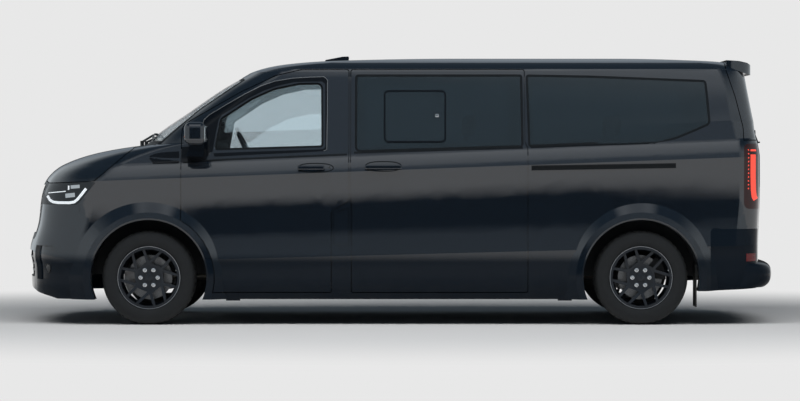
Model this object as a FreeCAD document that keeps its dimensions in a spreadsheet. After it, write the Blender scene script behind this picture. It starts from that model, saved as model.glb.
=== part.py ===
import FreeCAD, Part
import math
import os

import Sketcher
from FreeCAD import Matrix, Placement, Rotation, Vector

# Long-wheelbase minibus. X runs along the vehicle with the nose at -X, Y across it with
# the driver's side at -Y, Z up from the ground. The origin is on the ground below the centre.

doc = FreeCAD.newDocument("minibus")
sheet = doc.addObject("Spreadsheet::Sheet", "Sizes")

SIZES = {
    # wheels and their places
    "front_axle_x": -1780,
    "rear_axle_x": 1720,
    "wheel_middle_y": 870,
    "tyre_radius": 335,
    "tyre_half_width": 107.5,
    "tyre_shoulder": 17,
    "tyre_sidewall": 285,
    "bead_radius": 213,
    "rim_flange": 10,
    "rim_half_width": 95,
    "flange_thickness": 8,
    "rim_wall": 9,
    "rim_well": 16,
    "spoke_face": 86,
    "spoke_depth": 30,
    "hub_face": 64,
    "hub_back": 34,
    "hub_radius": 86,
    "hub_bore": 30,
    "dish_knee": 182,
    "well_front": 30,
    "well_slope": 24,
    "fork_low": 117,
    "fork_lead_x": 76,
    "fork_lead_z": 187,
    "fork_crown_x": 25,
    "fork_crown_z": 201,
    "fork_trail_x": 29,
    "fork_trail_z": 200,
    "wide_start_x": 14,
    "wide_start_z": 102,
    "wide_lead_x": 95,
    "wide_lead_z": 180,
    "wide_crown_x": 122,
    "wide_crown_z": 162,
    "wide_trail_x": 147,
    "wide_trail_z": 140,
    "wide_end_x": 86,
    "wide_end_z": 72,
    "spoke_pairs": 6,
    "stub_end": 60,
    "caliper_low": 100,
    "caliper_high": 182,
    "caliper_clearance": 5.5,
    "caliper_front": 14,
    "caliper_back": 78,
    "disc_radius": 158,
    "disc_thickness": 24,
    "disc_face": 14,
    "bell_radius": 82,
    "bell_wall": 8,
    "axle_stub": 27,
    "arch_radius": 412,
    "flare_width": 53,
    "flare_taper": 110,
    "flare_half_width": 1016,
    "kingpin_inset": 75,
    # walls and gaps
    "panel_wall": 60,
    "wall": 74,
    "panel_drop": 35,
    "wall_drop": 45,
    "seat_gap": 0.3,
    "seam": 0.4,
    "shut_gap": 6,
    "flange_lap": 24,
    "glass_depth": 2,
    "glass_thickness": 6,
    "liner_thickness": 5,
    # plan shape of the sides
    "side_bow_radius": 105000,
    "widest_x": 200,
    # side view places
    "underside": 181,
    "door_front_x": -1556,
    "door_rear_x": -480,
    "door_upper_rear_x": -356,
    "slider_front_x": -343,
    "slider_rear_x": 918,
    "door_bottom": 227,
    "door_top": 1822,
    "roof_seam": 1823,
    "bonnet_rear_x": -1901,
    "bonnet_rear_height": 1251,
    "tailgate_top_x": 2338,
    "tailgate_bottom": 690,
    "tail_panel_half": 790,
    "lamp_front_x": 2453,
    "lamp_low": 825,
    "lamp_high": 1287,
    "rear_bumper_front_x": 2214,
    "rear_bumper_top": 682,
    # floor, cabin and under-body
    "floor_height": 500,
    "floor_thickness": 40,
    "floor_half_width": 930,
    "dash_half_width": 800,
    "seat_width": 470,
    "cushion_height": 820,
    "seat_back_height": 1330,
    "steering_wheel_radius": 190,
    "steering_wheel_tube": 15,
    "steering_wheel_x": -1085,
    "steering_wheel_y": -400,
    "steering_wheel_height": 1195,
    "steering_wheel_rake": 27,
    "mirror_tip_y": 1137,
    "jack_height": 170,
    "jack_front_x": -1184,
    "jack_rear_x": 1180,
    "rack_hole_radius": 4,
    "rack_half_length": 900,
    "rack_middle_x": 500,
    "rack_half_width": 640,
    "tow_hole_radius": 6.5,
    "tow_half_width": 480,
    "tow_height": 425,
    "tow_half_height": 25,
    "engine_length": 520,
    "engine_width": 690,
    "engine_height": 580,
}

# Closed plan loops that carry the body's form, from the sill up: height above the ground at
# mid-length, rise per millimetre towards the rear, front and rear reach, half width, then
# the radii of the front, front corner, rear and rear corner.
LEVEL_FIELDS = ("height", "rise", "front_x", "rear_x", "half_width",
                "front_radius", "front_corner", "rear_radius", "rear_corner")
LEVELS = {
    "sill": (181, 0.0, -2690, 2620, 930, 2400, 380, 5000, 200),
    "rocker": (227, 0.003, -2700, 2624, 958, 2400, 380, 5000, 200),
    "lower_side": (320, 0.012, -2708, 2628, 976, 2400, 390, 5000, 190),
    "lower_crease": (500, 0.026, -2715, 2630, 990, 2400, 400, 5000, 180),
    "flank_low": (640, 0.030, -2715, 2634, 980, 2400, 400, 5000, 170),
    "flank_middle": (790, 0.033, -2672, 2640, 975, 2400, 400, 5000, 160),
    "flank_high": (960, 0.035, -2652, 2642, 978, 2350, 420, 5000, 160),
    "shoulder": (1102, 0.037, -2612, 2641, 987, 2300, 440, 5000, 160),
    "ledge": (1165, 0.040, -2572, 2632, 968, 2300, 470, 5000, 160),
    "belt": (1226, 0.041, -2497, 2614, 932, 2300, 500, 5000, 160),
    "bonnet_low": (1283, 0.041, -2348, 2602, 919, 2300, 500, 5000, 170),
    "bonnet_high": (1328, 0.041, -2134, 2596, 909, 2300, 440, 5000, 175),
    "screen_base": (1357, 0.041, -1866, 2591, 903, 2300, 330, 5000, 180),
    "screen_low": (1483, 0.034, -1697, 2569, 875, 2500, 300, 5000, 180),
    "screen_middle": (1580, 0.028, -1529, 2553, 854, 2800, 290, 5000, 180),
    "screen_high": (1698, 0.016, -1323, 2536, 828, 3400, 280, 5000, 190),
    "header": (1773, 0.006, -1167, 2525, 811, 4000, 270, 5000, 200),
    "rail": (1805, 0.002, -1104, 2515, 802, 4000, 270, 5000, 200),
    "roof_edge": (1853, 0.0, -925, 2470, 760, 4000, 280, 5000, 220),
    "roof_shoulder": (1877, 0.0, -734, 2390, 695, 4000, 280, 5000, 240),
    "roof_middle": (1890, 0.0, -560, 2270, 610, 4000, 280, 5000, 250),
    "roof_high": (1905, 0.0, -150, 2000, 430, 3000, 250, 4000, 240),
    "roof_top": (1914, 0.0, 350, 1500, 180, 2000, 120, 2000, 120),
}
# The form is creased between these stretches and smooth within each.
STRETCHES = (("sill", "lower_crease"), ("lower_crease", "shoulder"), ("shoulder", "belt"),
             ("belt", "screen_base"), ("screen_base", "rail"), ("rail", "roof_top"))
LEVEL_NAMES = list(LEVELS)

for name, values in LEVELS.items():
    for field, value in zip(LEVEL_FIELDS, values):
        SIZES[name + "_" + field] = value

for row, (name, value) in enumerate(SIZES.items(), 1):
    sheet.set("A%d" % row, name)
    sheet.set("B%d" % row, str(value))
    sheet.setAlias("B%d" % row, name)
doc.recompute()


def size(name):
    """Value of one named cell."""
    return float(getattr(sheet, name))


FRONT = size("front_axle_x")
REAR = size("rear_axle_x")
WHEEL_Y = size("wheel_middle_y")
WHEEL_Z = size("tyre_radius")
GAP = size("shut_gap")
SEAM = size("seam")
SEAT = size("seat_gap")
FAR = 4000.0
published = []


# Outlines and prisms

def rounded(points):
    """Closed wire in the XZ plane. A point may carry a third value, its corner radius."""
    corners = []
    count = len(points)
    for i, point in enumerate(points):
        here = Vector(point[0], 0, point[1])
        radius = point[2] if len(point) > 2 else 0
        if radius == 0:
            corners.append((here, None, here))
            continue
        before = points[i - 1]
        after = points[(i + 1) % count]
        back = (Vector(before[0], 0, before[1]) - here).normalize()
        ahead = (Vector(after[0], 0, after[1]) - here).normalize()
        half = back.getAngle(ahead) / 2
        run = radius / math.tan(half)
        middle = (back + ahead).normalize()
        top = here + middle * (radius / math.sin(half) - radius)
        corners.append((here + back * run, top, here + ahead * run))
    edges = []
    for i, (start, top, end) in enumerate(corners):
        if top is not None:
            edges.append(Part.Arc(start, top, end).toShape())
        following = corners[(i + 1) % count][0]
        if end.distanceToPoint(following) > 1e-4:
            edges.append(Part.makeLine(end, following))
    return Part.Wire(edges)


def side_face(points, grow=0.0):
    """Flat face of a side-view outline, grown or shrunk all round."""
    face = Part.Face(rounded(points))
    if grow:
        face = face.makeOffset2D(grow)
    return face


def side_prism(points, low_y, high_y, grow=0.0):
    """Side-view outline run across the vehicle from low_y to high_y."""
    face = side_face(points, grow)
    face.translate(Vector(0, low_y, 0))
    return face.extrude(Vector(0, high_y - low_y, 0))


def left_prism(points, grow=0.0, inner_y=-20.0):
    """Side-view outline run out through the left wall."""
    return side_prism(points, -1300.0, inner_y, grow)


def end_prism(points, low_x, high_x, grow=0.0):
    """Outline of (y, z) points run along the vehicle from low_x to high_x."""
    face = side_face(points, grow)
    face.rotate(Vector(), Vector(0, 0, 1), 90)
    face.translate(Vector(low_x, 0, 0))
    return face.extrude(Vector(high_x - low_x, 0, 0))


def block(low, high):
    """Box between two corners."""
    return Part.makeBox(high[0] - low[0], high[1] - low[1], high[2] - low[2], Vector(*low))


def rounded_block(low, high, radius):
    """Box between two corners with all its edges rounded."""
    box = block(low, high)
    return box.makeFillet(radius, box.Edges)


def across(radius, low_y, high_y, x, z):
    """Cylinder along Y."""
    return Part.makeCylinder(radius, high_y - low_y, Vector(x, low_y, z), Vector(0, 1, 0))


def rod(start, end, radius):
    """Round bar between two points."""
    run = Vector(*end) - Vector(*start)
    return Part.makeCylinder(radius, run.Length, Vector(*start), run)


def mirrored(shape):
    """The same shape on the other side of the vehicle."""
    return shape.mirror(Vector(), Vector(0, 1, 0))


def joined(shapes):
    """One shape from several that meet."""
    return shapes[0].multiFuse(shapes[1:]).removeSplitter() if len(shapes) > 1 else shapes[0]


def group(shapes):
    """Solids kept apart in one shape."""
    solids = []
    for shape in shapes:
        solids.extend(shape.Solids)
    return Part.makeCompound(solids)


def tidy(shape, smallest=1000.0):
    """Solids of a cut, without crumbs."""
    return group([s for s in shape.Solids if s.Volume > smallest])


def publish(label, shape):
    """Make a named sub-part from a finished shape."""
    item = doc.addObject("Part::Feature", label)
    item.Label = label
    item.Shape = shape
    item.Placement = Placement()
    published.append(item)
    return item


def publish_pair(stem, shape):
    """The same sub-part on the left and, mirrored, on the right."""
    publish(stem + "_left", shape)
    publish(stem + "_right", mirrored(shape))


# The body's form: plan loops of eight tangent arcs, lofted from one to the next

def tangent_corner(face_centre, face_radius, side_centre, side_radius, radius, forward):
    """Start, middle and end of the arc that runs from an end arc into a side arc."""
    end_run = face_radius - radius
    side_run = side_radius - radius
    between = side_centre - face_centre
    along = (end_run ** 2 - side_run ** 2 + between.Length ** 2) / (2 * between.Length)
    offset = math.sqrt(end_run ** 2 - along ** 2)
    unit = between / between.Length
    normal = Vector(-unit.y, unit.x, 0)
    choices = [face_centre + unit * along + normal * offset * sign for sign in (1, -1)]
    centre = min(choices, key=lambda point: point.x * forward)
    start = face_centre + (centre - face_centre) * (face_radius / end_run)
    end = side_centre + (centre - side_centre) * (side_radius / side_run)
    middle = (start + end) / 2 - centre
    return start, centre + middle * (radius / middle.Length), end


def other_side(point):
    """Plan point mirrored to the right side."""
    return Vector(point.x, -point.y, 0)


def plan_loop(level, inset=0.0, drop=0.0):
    """Closed loop of one level, moved in by inset and down by drop."""
    height, rise, front_x, rear_x, half, front_r, front_c, rear_r, rear_c = level
    front_x += inset
    rear_x -= inset
    half -= inset
    side_radius = size("side_bow_radius") - inset
    side = Vector(size("widest_x"), side_radius - half, 0)
    front = tangent_corner(Vector(front_x + front_r - inset, 0, 0), front_r - inset,
                           side, side_radius, front_c - inset, 1)
    rear = tangent_corner(Vector(rear_x - rear_r + inset, 0, 0), rear_r - inset,
                          side, side_radius, rear_c - inset, -1)
    bow = (front[2] + rear[2]) / 2 - side
    bow = side + bow * (side_radius / bow.Length)
    stops = [(other_side(front[0]), Vector(front_x, 0, 0), front[0]),
             front,
             (front[2], bow, rear[2]),
             (rear[2], rear[1], rear[0]),
             (rear[0], Vector(rear_x, 0, 0), other_side(rear[0]))]
    for start, middle, end in reversed(stops[1:4]):
        stops.append((other_side(end), other_side(middle), other_side(start)))
    wire = Part.Wire([Part.Arc(*stop).toShape() for stop in stops])
    lean = Matrix()
    lean.A31 = rise
    lean.A34 = height - drop
    return wire.transformGeometry(lean)


def level_sizes(name):
    """The sheet's values for one level."""
    return [size(name + "_" + field) for field in LEVEL_FIELDS]


def closed_solid(faces):
    """Solid bounded by faces that share their edges."""
    shell = Part.makeShell(faces)
    if not shell.isClosed():
        shell.sewShape()
    solid = Part.makeSolid(shell)
    if solid.Volume < 0:
        solid.reverse()
    return solid


def form(inset=0.0, drop=0.0, first="sill", deeper=0.0):
    """The body's form, inset in plan and lowered from the belt up."""
    start = LEVEL_NAMES.index(first)
    belt = LEVEL_NAMES.index("belt")
    loops = {}
    for index, name in enumerate(LEVEL_NAMES[start:], start):
        lowered = drop if index >= belt else 0.0
        if index == start:
            lowered = deeper
        loops[name] = plan_loop(level_sizes(name), inset, lowered)
    faces = []
    for low, high in STRETCHES:
        low = LEVEL_NAMES.index(low)
        high = LEVEL_NAMES.index(high)
        if low >= start:
            wires = [loops[name] for name in LEVEL_NAMES[low:high + 1]]
            faces.extend(Part.makeLoft(wires, False, False, False, 3).Faces)
    faces.append(Part.Face(loops[first]))
    faces.append(Part.Face(loops[LEVEL_NAMES[-1]]))
    return closed_solid(faces)


def flare(axle_x):
    """Lip round a left wheel arch, tapered into the side."""
    reach = size("flare_half_width")
    inner = size("arch_radius")
    face = inner + size("flare_width")
    foot = face + size("flare_taper")
    ring = [(inner, -930), (inner, -reach + 10), (inner + 12, -reach), (face, -reach + 4),
            (foot, -930)]
    points = [Vector(axle_x + r, y, WHEEL_Z) for r, y in ring]
    profile = Part.Face(Part.makePolygon(points + points[:1]))
    lip = profile.revolve(Vector(axle_x, 0, WHEEL_Z), Vector(0, 1, 0), 360)
    return lip.cut(block((-FAR, -1300, -FAR), (FAR, 0, size("underside"))))


outer = form()
panel_back = form(size("panel_wall"), size("panel_drop"), deeper=60)
flange_front = form(size("panel_wall") + SEAT, size("panel_drop") + SEAT, deeper=60)
inner = form(size("wall"), size("wall_drop"), deeper=60)
within = form(size("wall") + SEAT, size("wall_drop") + SEAT, deeper=60)
glass_in = size("glass_depth")
glass_back = glass_in + size("glass_thickness")
glass_front_form = form(glass_in, glass_in, "shoulder")
glass_back_form = form(glass_back, glass_back - 1, "shoulder")
rebate_form = form(glass_back + SEAT, glass_back - 1 + SEAT, "shoulder")

left_flares = [flare(FRONT), flare(REAR)]
flares = left_flares + [mirrored(lip) for lip in left_flares]
flared = outer.multiFuse(flares)
arches = []
for axle_x in (FRONT, REAR):
    arch = across(size("arch_radius"), -1300, -600, axle_x, WHEEL_Z)
    arches.extend([arch, mirrored(arch)])
chin = side_prism([(-2850, 60), (-2850, 306), (-2713, 282), (-2680, 253), (-2588, 221),
                   (-2484, 194), (-2440, 180), (-2440, 60)], -1300, 1300)
tail_cut = side_prism([(2110, 60), (2110, 241), (2200, 241), (2669, 262), (2850, 262),
                       (2850, 60)], -1300, 1300)
flared = flared.cut(arches + [chin, tail_cut])
fixed = flared.cut(inner)
panels = flared.cut(panel_back)
glazing = glass_front_form.cut(glass_back_form)

# Side-view outlines, in millimetres along and up, with corner radii where they are round

door_x = size("door_front_x")
door_low = size("door_bottom")
door_top = size("door_top")
ring = size("arch_radius") + size("flare_width")
ring_top = WHEEL_Z + math.sqrt(ring ** 2 - (door_x - FRONT) ** 2)
ring_foot = FRONT + math.sqrt(ring ** 2 - (door_low - WHEEL_Z) ** 2)


def arc_points(centre_x, radius, start, end, count=9):
    """Points on an arc round a wheel centre, between two heights, going down its rear."""
    first = math.asin((start - WHEEL_Z) / radius)
    last = math.asin((end - WHEEL_Z) / radius)
    steps = [first + (last - first) * i / (count - 1) for i in range(count)]
    return [(centre_x + radius * math.cos(a), WHEEL_Z + radius * math.sin(a)) for a in steps]


slant_top = 878
FRONT_DOOR = ([(door_x, 1415, 60), (-1495, 1459, 150), (-1131, 1663, 300), (-880, 1780, 220),
               (-700, door_top, 200), (size("door_upper_rear_x"), door_top, 20),
               (size("door_upper_rear_x"), slant_top, 40), (size("door_rear_x"), 805, 40),
               (size("door_rear_x"), door_low, 15)]
              + list(reversed(arc_points(FRONT, ring, ring_top, door_low))))
slider_x = size("slider_front_x")
slider_rear = size("slider_rear_x")
SLIDING_DOOR = [(slider_x, door_low, 15), (slider_rear, door_low, 15), (slider_rear, 1262),
                (slider_rear - 20, 1300), (slider_rear - 20, door_top, 20),
                (slider_x - 6, door_top, 20), (slider_x - 6, 900), (slider_x, 860)]
FRONT_WINDOW = [(-1322, 1240, 25), (-1278, 1468, 40), (-1060, 1612, 200), (-896, 1685, 150),
                (-721, 1722, 150), (-545, 1726, 45), (-540, 1262, 25)]
SLIDER_WINDOW = [(-316, 1226, 40), (886, 1262, 30), (880, 1784, 20), (-316, 1784, 25)]
SLIDER_HOLE = [(-262, 1272, 40), (838, 1310, 30), (838, 1742, 20), (-262, 1742, 25)]
REAR_WINDOW = [(918, 1264, 20), (1376, 1282), (1823, 1293, 250), (1966, 1317, 250),
               (2080, 1364, 200), (2222, 1425, 45), (2206, 1640), (2196, 1744, 30),
               (1376, 1776), (904, 1784, 20)]
REAR_HOLE = [(962, 1308, 20), (1376, 1326), (1810, 1338, 250), (1950, 1362, 200),
             (2060, 1408, 150), (2176, 1455, 40), (2158, 1690, 30), (1376, 1732),
             (950, 1742, 20)]
FUEL_FLAP = [(-468, 566, 12), (-356, 566, 12), (-356, 838, 12), (-468, 795, 12)]
bonnet_x = size("bonnet_rear_x")
BONNET = [(bonnet_x, size("bonnet_rear_height")), (bonnet_x, 1400), (-2900, 1400),
          (-2900, 1030), (-2600, 1030), (-2522, 1003), (-2172, 1016, 40)]
WINDSCREEN = [(-1960, 1284), (-1709, 1284), (-1433, 1527, 400), (-1104, 1748),
              (-1190, 1800), (-2100, 1900)]
COWL = [(bonnet_x - 25, 1100), (-1640, 1100), (-1640, 1283.6), (-1990, 1283.6), (-1990, 1262),
        (bonnet_x - 25, 1262)]
HEADLAMP = [(-2560, 936, 30), (-2524, 1002), (-2172, 1014, 20), (-2160, 1010),
            (-2290, 854, 40), (-2509, 854, 30)]
GRILLE_FRONT = [(-2900, 600), (-2900, 1029), (-2600, 1029), (-2524, 1002), (-2560, 936, 30),
                (-2509, 854, 30), (-2500, 840), (-2500, 600)]
GRILLE_TOP = 1029.5
GRILLE_FACE = [(-640, GRILLE_TOP), (-560, 600, 60), (560, 600, 60), (640, GRILLE_TOP)]
BUMPER = [(-2900, 60), (-2900, 853), (-2289, 853), (-2281, 847), (-2274, 795, 30),
          (-2192, 720), (-2100, 640), (-1900, 400), (-1900, 60)]
FENDER = [(-2700, 854), (-2700, 1290), (bonnet_x, 1290), (bonnet_x, 1252), (-1800, 1192, 60),
          (door_x - 1, 1164), (door_x + 60, 1164), (door_x + 60, 780), (-1260, 780),
          (-1260, 60), (-1905, 60), (-1905, 395), (-2190, 718), (-2272, 793), (-2280, 848),
          (-2290, 854)]
ROOF = [(-1192, 1801), (-1098, 1744), (-900, size("roof_seam")),
        (size("tailgate_top_x"), size("roof_seam")), (size("tailgate_top_x"), 2000),
        (-1192, 2000)]
TAILGATE_SIDE = [(size("tailgate_top_x"), 2000), (size("tailgate_top_x"), 1815),
                 (2400, 1620, 200), (2452, 1400, 200), (2452, size("tailgate_bottom")),
                 (2900, size("tailgate_bottom")), (2900, 2000)]
half = size("tail_panel_half")
lamp_top_gap = size("lamp_high") + 24
TAILGATE_REAR = [(-half, size("tailgate_bottom"), 20), (half, size("tailgate_bottom"), 20),
                 (half, lamp_top_gap), (1200, lamp_top_gap), (1200, 2000), (-1200, 2000),
                 (-1200, lamp_top_gap), (-half, lamp_top_gap)]
REAR_BUMPER = [(size("rear_bumper_front_x"), 60), (size("rear_bumper_front_x"), 690, 30),
               (2300, size("rear_bumper_top"), 40), (2900, size("rear_bumper_top")),
               (2900, 60)]

# Windows, doors and lids are cut out of the fixed wall, leaving a flange behind each edge

lap = -size("flange_lap")
front_pocket = left_prism(FRONT_DOOR, inner_y=-500).cut(flange_front)
slider_pocket = left_prism(SLIDING_DOOR, inner_y=-500).cut(flange_front)
front_aperture = left_prism(FRONT_DOOR, lap, -500)
slider_aperture = left_prism(SLIDING_DOOR, lap, -500)
front_door = panels.common(left_prism(FRONT_DOOR, -GAP, -500))
sliding_door = panels.common(left_prism(SLIDING_DOOR, -GAP, -500))

tailgate_region = side_prism(TAILGATE_SIDE, -1300, 1300).common(
    end_prism(TAILGATE_REAR, 2000, 2900))
tailgate_inner = side_prism(TAILGATE_SIDE, -1300, 1300, lap).common(
    end_prism(TAILGATE_REAR, 2000, 2900, lap))
tailgate_moving = side_prism(TAILGATE_SIDE, -1300, 1300, -GAP).common(
    end_prism(TAILGATE_REAR, 2000, 2900, -GAP))
tailgate_pocket = tailgate_region.cut(flange_front)
tailgate = panels.common(tailgate_moving)

bonnet_pocket = side_prism(BONNET, -1300, 1300).cut(flange_front)
bonnet_aperture = side_prism(BONNET, -1300, 1300, lap)
bonnet = panels.common(side_prism(BONNET, -1300, 1300, -GAP))

screen_opening = side_prism(WINDSCREEN, -1300, 1300)
windscreen = glazing.common(side_prism(WINDSCREEN, -1300, 1300, -SEAT))

centre_cut = [tailgate_pocket, tailgate_inner, bonnet_pocket, bonnet_aperture, screen_opening]
fixed = tidy(fixed.cut(centre_cut))

roof = tidy(fixed.common(side_prism(ROOF, -1300, 1300)))
cowl = tidy(fixed.common(side_prism(COWL, -780, 780)))


def grille_region(grow=0.0):
    """The grille's part of the nose: its front face and the strips below the lamps."""
    face = end_prism(GRILLE_FACE, -2900, -2300, grow)
    strips = side_prism(GRILLE_FRONT, -900, 900, grow)
    return face.fuse(strips.common(block((-2900, -900, 854), (-2400, 900, GRILLE_TOP + grow))))


grille_zone = grille_region(SEAM)
grille_shell = fixed.common(grille_region())
bumper_shell = fixed.common(side_prism(BUMPER, -1300, 1300)).cut(grille_zone)
rear_shell = fixed.common(side_prism(REAR_BUMPER, -1300, 1300))

# The left wall, piece by piece

side = fixed.common(block((-FAR, -1300, 0), (FAR, -150, FAR)))
side = side.cut([side_prism(ROOF, -1300, 0, SEAM), side_prism(COWL, -780 - SEAM, 0, SEAM),
                 grille_zone, side_prism(BUMPER, -1300, 0, SEAM),
                 side_prism(REAR_BUMPER, -1300, 0, SEAM)])
lamp_shell = side.common(left_prism(HEADLAMP))
side = side.cut(left_prism(HEADLAMP, SEAM))
bumper_shell = bumper_shell.cut([left_prism(HEADLAMP, SEAM),
                                 mirrored(left_prism(HEADLAMP, SEAM))])
side = side.cut([front_pocket, slider_pocket, front_aperture, slider_aperture])
fender = tidy(side.common(left_prism(FENDER)), 20000.0)
side = side.cut(left_prism(FENDER, SEAM))
tail_zone = [(size("lamp_front_x"), size("lamp_low"), 40),
             (size("lamp_front_x"), size("lamp_high"), 40),
             (2900, size("lamp_high") + 8), (2900, size("lamp_low"))]
tail_lamp = side.common(left_prism(tail_zone))
side = side.cut(left_prism(tail_zone, SEAM))
rear_glass = glazing.common(left_prism(REAR_WINDOW, -SEAT))
side = side.cut([left_prism(REAR_WINDOW).cut(rebate_form), left_prism(REAR_HOLE)])
flap_back_form = form(12.3, 12.3)
flap_front_form = form(12.0, 12.0)
flap_pocket = left_prism(FUEL_FLAP).cut(flap_back_form)
side = side.cut(flap_pocket)
fuel_flap = flared.cut(flap_front_form).common(left_prism(FUEL_FLAP, -5.0))
jack_pads = [block((x - 50, -918, size("jack_height")), (x + 50, -868, size("underside") + 4))
             for x in (size("jack_front_x"), size("jack_rear_x"))]
body_side = tidy(side.fuse(jack_pads), 200000.0)

rack_holes = [Part.makeCylinder(size("rack_hole_radius"), 80,
                                Vector(size("rack_middle_x") + x, y, 1865))
              for x in (-size("rack_half_length"), size("rack_half_length"))
              for y in (-size("rack_half_width"), size("rack_half_width"))]
fin = side_prism([(-560, 1880), (-545, 1912, 8), (-420, 1936, 20), (-372, 1938, 8),
                  (-376, 1880)], -22, 22)
publish("roof", joined([tidy(roof.cut(rack_holes)), fin]))
publish_pair("body_side", body_side)
publish_pair("fender", fender)
publish("bonnet", tidy(bonnet))
publish("windscreen", tidy(windscreen))
publish("cowl_panel", cowl)
publish("headlamps", group([tidy(lamp_shell), mirrored(tidy(lamp_shell))]))
publish("tail_lamps", group([tidy(tail_lamp), mirrored(tidy(tail_lamp))]))
publish("fuel_flap", tidy(fuel_flap))

# Doors with their windows and handles

front_door = front_door.cut(left_prism(FRONT_WINDOW))
drop_front = form(14, 12, "shoulder")
drop_back = form(19, 16, "shoulder")
door_glass = drop_front.cut(drop_back).common(left_prism(FRONT_WINDOW, -SEAT))
sliding_door = sliding_door.cut([left_prism(SLIDER_WINDOW).cut(rebate_form),
                                 left_prism(SLIDER_HOLE)])
slider_glass = glazing.common(left_prism(SLIDER_WINDOW, -SEAT))


def handle(x_low, x_high, z, skin_y):
    """Pull handle that stands off the skin on two feet."""
    bar = rounded_block((x_low, skin_y - 34, z - 15), (x_high, skin_y - 16, z + 15), 7)
    feet = [block((x, skin_y - 24, z - 9), (x + 26, skin_y + 40, z + 9))
            for x in (x_low + 10, x_high - 36)]
    shape = tidy(bar.multiFuse(feet).cut(outer))
    shape.translate(Vector(0, -SEAT, 0))
    return shape


publish_pair("front_handle", handle(-722, -531, 1118, -985))
slider_handle = handle(-244, 18, 1122, -987)
publish("sliding_handles", group([slider_handle, mirrored(slider_handle)]))
publish_pair("front_door", tidy(front_door))
publish_pair("front_door_glass", tidy(door_glass))
publish_pair("sliding_door", tidy(sliding_door))
publish_pair("side_glass", group([tidy(slider_glass), tidy(rear_glass)]))

# Tailgate with its spoiler and window

TAIL_WINDOW = [(-690, 1212, 60), (690, 1212, 60), (640, 1755, 90), (-640, 1755, 90)]
TAIL_HOLE = [(-640, 1262, 60), (640, 1262, 60), (590, 1705, 90), (-590, 1705, 90)]
tail_glass = glazing.common(end_prism(TAIL_WINDOW, 2450, 2900, -SEAT))
tailgate = tailgate.cut([end_prism(TAIL_WINDOW, 2450, 2900).cut(rebate_form),
                         end_prism(TAIL_HOLE, 2450, 2900)])
spoiler = side_prism([(2350, 1840), (2350, 1889), (2440, 1884), (2508, 1871), (2548, 1849),
                      (2571, 1822), (2540, 1786), (2505, 1790)], -1000, 1000)
spoiler_plan = Part.Face(plan_loop((0, 0, -1000, 2571, 742, 1500, 300, 5000, 160)))
spoiler = spoiler.common(spoiler_plan.extrude(Vector(0, 0, 3000)))
tailgate = tailgate.fuse(spoiler.cut(panel_back))
publish("tailgate", tidy(tailgate))
publish("tailgate_glass", tidy(tail_glass))

# Nose: grille of curved bars in a frame, lower intake and bumper

bar_front = form(10, 10)
bar_back = form(34, 30)
mesh_front = form(50, 50)
nose = block((-2900, -1000, 200), (-2350, 1000, 1100))
bar_layer = bar_front.cut(bar_back).common(nose)
back_layer = mesh_front.cut(inner).common(nose)
GRILLE_HOLE = [(-560, 992, 40), (-520, 640, 50), (520, 640, 50), (560, 992, 40)]
grille_frame = grille_shell.cut(end_prism(GRILLE_HOLE, -2900, -2300))
pieces = [grille_frame, back_layer.common(end_prism(GRILLE_HOLE, -2900, -2300, 6))]
bar_count = 6
bar_pitch = (992 - 640) / (bar_count + 1)
hole_wide = end_prism(GRILLE_HOLE, -2900, -2300, 3)
for index in range(bar_count):
    middle = 640 + bar_pitch * (index + 1)
    bar = bar_layer.common(block((-2900, -700, middle - 9), (-2300, 700, middle + 9)))
    pieces.append(bar.common(hole_wide))
for y in (-330, 0, 330):
    stay = bar_front.cut(mesh_front).common(block((-2900, y - 8, 630), (-2300, y + 8, 1000)))
    pieces.append(stay.common(hole_wide).common(nose))
upper_grille = tidy(joined(pieces))

INTAKE = [(-600, 330, 40), (600, 330, 40), (640, 520, 40), (-640, 520, 40)]
bumper = bumper_shell.cut(end_prism(INTAKE, -2900, -2300))
recess = left_prism([(-2800, 318, 30), (-2500, 318, 30), (-2452, 560, 30), (-2800, 560, 30)],
                    0.0, -700).cut(form(28, 28))
bumper = bumper.cut([recess, mirrored(recess)])
publish("front_bumper", tidy(bumper))
intake_edge = end_prism(INTAKE, -2900, -2300, -SEAT)
slats = [back_layer.common(intake_edge)]
for z in (377, 425, 473):
    slats.append(bar_layer.common(block((-2900, -700, z - 8), (-2300, 700, z + 8))))
for y in (-400, 0, 400):
    post = block((-2900, y - 8, 300), (-2300, y + 8, 560))
    slats.append(bar_front.cut(mesh_front).common(post))
lower_grille = tidy(joined(slats).common(intake_edge))
publish("grille", group([upper_grille, lower_grille]))

# Rear bumper with its protruding step

step_levels = ((262, 2669), (301, 2714), (362, 2725), (394, 2719), (438, 2641))
step_loops = [plan_loop((z, 0, -1000, x, 962, 2400, 380, 5000, 210)) for z, x in step_levels]
step = Part.makeLoft(step_loops, True, False).common(block((2300, -1300, 0), (2900, 1300, 500)))
rear_bumper = rear_shell.fuse(step.cut(inner))
publish("rear_bumper", tidy(rear_bumper))

# Floor, toe board, wheel houses and the frame rails below them

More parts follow.
